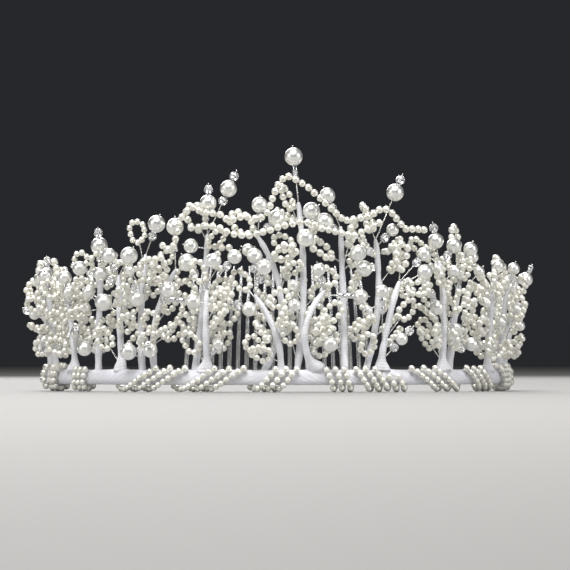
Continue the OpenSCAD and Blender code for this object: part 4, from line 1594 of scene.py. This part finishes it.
@dataclass
class Comb:
    """Clear comb behind the front: a curved spine with round tapering teeth that lean back."""

    width: float = 62.0
    teeth: int = 22
    spine_height: float = 4.0
    spine_thickness: float = 2.2
    spine_base: float = 0.2
    spine_corner: float = 0.5
    spine_rows: int = 60
    spine_sides: int = 24
    end_rows: int = 6
    tooth_d: float = 1.4
    tooth_length: float = 42.0
    tooth_curve: float = 84.0
    tooth_lean: float = 14.0
    tooth_sunk: float = 1.0
    tooth_rows: int = 24
    tooth_sides: int = 14
    curve: float = 200.0
    taper: float = 0.35
    round_off: float = 0.3
    tie_d: float = 1.9
    tie_up: float = 3.2
    tie_gap: float = 0.1
    tie_turn: float = 0.45
    tie_groove: float = 0.12
    tie_rows: int = 26
    tie_sides: int = 16
    tie_shares: tuple[float, ...] = (-0.92, -0.4, 0.4, 0.92)
    crowd_balls: int = 40

    def half_turn(self) -> float:
        """Angle from the middle of the spine to its end, in radians."""
        return float(np.arcsin(self.width / 2 / self.curve))

    def middle(self) -> np.ndarray:
        """Centre of the spine's own arc.

        Its ends stay clear of the strings that are wound round the band.

        Returns:
            The point, at the height of the spine's lower edge.
        """
        clear = SIZES.band_radius - SIZES.band_thickness / 2 - SIZES.wound_d - 2 * SIZES.bead_gap
        clear -= self.spine_thickness / 2
        y = -np.sqrt(clear**2 - (self.width / 2) ** 2) + self.curve * np.cos(self.half_turn())
        return np.array([0.0, y, SIZES.band_lift + self.spine_base])

    def spine(self) -> Patch:
        """Spine: a superellipse of its thickness and height carried along its arc, with round ends.

        Returns:
            The closed surface.
        """
        half_t, half_h = self.spine_thickness / 2, self.spine_height / 2
        psi = round_end(self.end_rows)
        main = np.linspace(-1, 1, self.spine_rows) * (self.half_turn() - half_t / self.curve)
        tip = self.half_turn() - half_t * (1 - np.sin(psi)) / self.curve
        turn = np.concatenate([-tip[::-1], main, tip])
        scale = np.concatenate([np.cos(psi)[::-1], np.ones(len(main)), np.cos(psi)])
        section = squared(angles(self.spine_sides), self.spine_corner) * [half_t, -half_h]
        path = self.middle() + self.curve * outward(turn) + UP * half_h
        return swept(path, scale[:, None, None] * section[::-1], outward(turn))

    def tooth_path(self, turn: float, share: np.ndarray) -> np.ndarray:
        """Middle line of one tooth: an arc that leans back from the spine.

        Args:
            turn: Angle of the tooth along the spine, in radians.
            share: Places along the tooth, from 0 to 1.

        Returns:
            Its points.
        """
        lean = np.radians(self.tooth_lean)
        a = lean + share * self.tooth_length / self.tooth_curve
        back = self.tooth_curve * (np.cos(lean) - np.cos(a))
        rise = self.tooth_curve * (np.sin(a) - np.sin(lean))
        root = self.middle() + self.curve * outward(turn) + UP * (self.spine_height - self.tooth_sunk)
        return root - back[:, None] * outward(turn) + rise[:, None] * UP

    def tooth(self, turn: float) -> Patch:
        """One tooth: a tube that tapers evenly and rounds off at its tip.

        Args:
            turn: Angle of the tooth along the spine, in radians.

        Returns:
            The closed surface.
        """
        share = np.linspace(0, 1, self.tooth_rows)
        radii = self.tooth_d / 2 * (1 - self.taper * share - self.round_off * share**8)
        section = circles(radii, self.tooth_sides)
        return swept(self.tooth_path(turn, share), section, outward(turn + np.pi / 2))

    def lashing(self, share: float) -> Patch:
        """One tie between the spine and the band: turns of floss side by side round a short core.

        It runs from the spine's outer side along the spine's own radius to where that radius
        comes through the band's inner wall.

        Args:
            share: Place along the spine, from -1 to 1.

        Returns:
            The closed surface.
        """
        line = outward(share * self.half_turn())
        start = self.middle() * LEVEL + (self.curve + self.spine_thickness / 2 + self.tie_gap) * line
        ahead = start @ line
        flat = start @ start
        wall = SIZES.band_radius - SIZES.band_thickness / 2 - self.tie_gap
        slant = np.arcsin(np.sqrt(flat - ahead**2) / wall)
        reach = np.sqrt(ahead**2 - flat + wall**2) - ahead - self.tie_d / 2 * np.tan(slant)
        at = np.linspace(0, reach, self.tie_rows)
        radii = self.tie_d / 2 - self.tie_groove * (1 - np.abs(np.sin(at * np.pi / self.tie_turn)))
        path = start + UP * (SIZES.band_lift + self.tie_up) + at[:, None] * line
        return swept(path, circles(radii, self.tie_sides), UP)

    def build(self, crowd: Crowd) -> None:
        """Adds the comb and its lashings.

        Args:
            crowd: Takes balls along the teeth.
        """
        edge = self.half_turn() * (1 - self.tooth_d / self.width)
        turns = np.linspace(-edge, edge, self.teeth)
        for turn in turns:
            crowd.add(self.tooth_path(turn, np.linspace(0, 1, self.crowd_balls)), self.tooth_d / 2)
        teeth = [self.tooth(turn) for turn in turns]
        add_piece("clear_comb", Patch.joined([self.spine(), *teeth]), PLASTIC, "comb")
        ties = Patch.joined([self.lashing(share) for share in self.tie_shares])
        add_piece("floss_lashings", ties, STEM_FLOSS, "comb_ties")


# Name, place, side length, power in watts and colour of each square soft light
LIGHTS = [
    ["key", (-0.12, -0.9, 1.64), 1.2, 50.0, (1.0, 0.995, 0.985)],
    ["fill", (0.95, -0.5, 0.35), 0.5, 3.2, (0.98, 0.99, 1.0)],
    ["left", (-0.95, -0.5, 0.35), 0.5, 2.4, (1.0, 1.0, 1.0)],
    ["back", (-0.2, 0.9, 0.6), 0.7, 7.5, (1.0, 1.0, 1.0)],
]


@dataclass
class Studio:
    """Plain pale floor, soft lights and the camera, in metres."""

    lit: tuple[float, float, float] = (0.0, -0.03, 0.035)
    target: tuple[float, float, float] = (0.0027, -0.045, 0.036)
    distance: float = 1.6
    camera_height: float = 0.012
    frame_width: float = 0.192
    sensor: float = 36.0
    floor_half: float = 4.0
    floor_colour: tuple[float, float, float, float] = (0.36, 0.355, 0.345, 1)
    floor_roughness: float = 0.75
    sky_colour: tuple[float, float, float, float] = (0.02, 0.021, 0.024, 1)

    def floor(self) -> None:
        """Adds the floor: a large sheet with a soft plain finish."""
        corners = [(x, y, 0) for x, y in ((-1, -1), (1, -1), (1, 1), (-1, 1))]
        mesh = bpy.data.meshes.new("floor")
        mesh.from_pydata((np.array(corners) * self.floor_half).tolist(), [], [(0, 1, 2, 3)])
        material = bpy.data.materials.new("floor_paint")
        material.use_nodes = True
        shader = material.node_tree.nodes["Principled BSDF"]
        shader.inputs["Base Color"].default_value = self.floor_colour
        shader.inputs["Roughness"].default_value = self.floor_roughness
        mesh.materials.append(material)
        self.put("floor", mesh)

    @staticmethod
    def put(name: str, data: bpy.types.ID) -> bpy.types.Object:
        """Links an object of some data to the scene.

        Args:
            name: Name of the object.
            data: Its mesh, light or camera.

        Returns:
            The object.
        """
        thing = bpy.data.objects.new(name, data)
        bpy.context.scene.collection.objects.link(thing)
        return thing

    @staticmethod
    def aim(thing: bpy.types.Object, where: tuple, target: tuple) -> None:
        """Moves a light or the camera to a place and turns it towards a point.

        Args:
            thing: The light or the camera.
            where: Its place.
            target: What it faces.
        """
        thing.location = where
        direction = Vector(target) - thing.location
        thing.rotation_euler = direction.to_track_quat("-Z", "Y").to_euler()

    def lights(self) -> None:
        """Adds the soft lights, each facing the tiara, and the colour of the sky."""
        for name, where, size, power, colour in LIGHTS:
            data = bpy.data.lights.new(name, "AREA")
            data.size = size
            data.energy = power
            data.color = colour
            self.aim(self.put(name, data), where, self.lit)
        world = bpy.data.worlds.new("studio")
        world.use_nodes = True
        world.node_tree.nodes["Background"].inputs["Color"].default_value = self.sky_colour
        bpy.context.scene.world = world

    def camera(self) -> None:
        """Adds the camera, straight in front of its target and just above the floor."""
        data = bpy.data.cameras.new("camera")
        data.sensor_width = self.sensor
        data.lens = self.sensor * self.distance / self.frame_width
        camera = self.put("camera", data)
        self.aim(camera, (self.target[0], self.target[1] - self.distance, self.camera_height), self.target)
        bpy.context.scene.camera = camera

    def build(self) -> None:
        """Adds the floor, the lights and the camera."""
        self.floor()
        self.lights()
        self.camera()


def main() -> None:
    """Builds every sub-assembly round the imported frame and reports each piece."""
    bpy.context.scene.view_settings.view_transform = "Standard"
    logging.basicConfig(level=logging.INFO, format="%(name)s: %(message)s")
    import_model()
    rng = np.random.default_rng(SEED)
    crowd = Crowd()
    rings = Rings()
    Band().build()
    Stems().build(crowd)
    Beads().build(rng, crowd)
    Windings().build(rng, crowd)
    Garland("upper", UPPER_ROUTE).build(rng, crowd)
    Garland("lower", LOWER_ROUTE).build(rng, crowd)
    Comb().build(crowd)
    tabled = rings.tabled(crowd)
    filling = rings.fill(crowd, rng)
    rings.build(rng, tabled, "ring", "loops")
    rings.build(rng, filling, "fill")
    Wires().build({name: tabled[name] + filling[name] for name in SECTORS})
    Studio().build()
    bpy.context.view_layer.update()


if __name__ == "__main__":
    main()
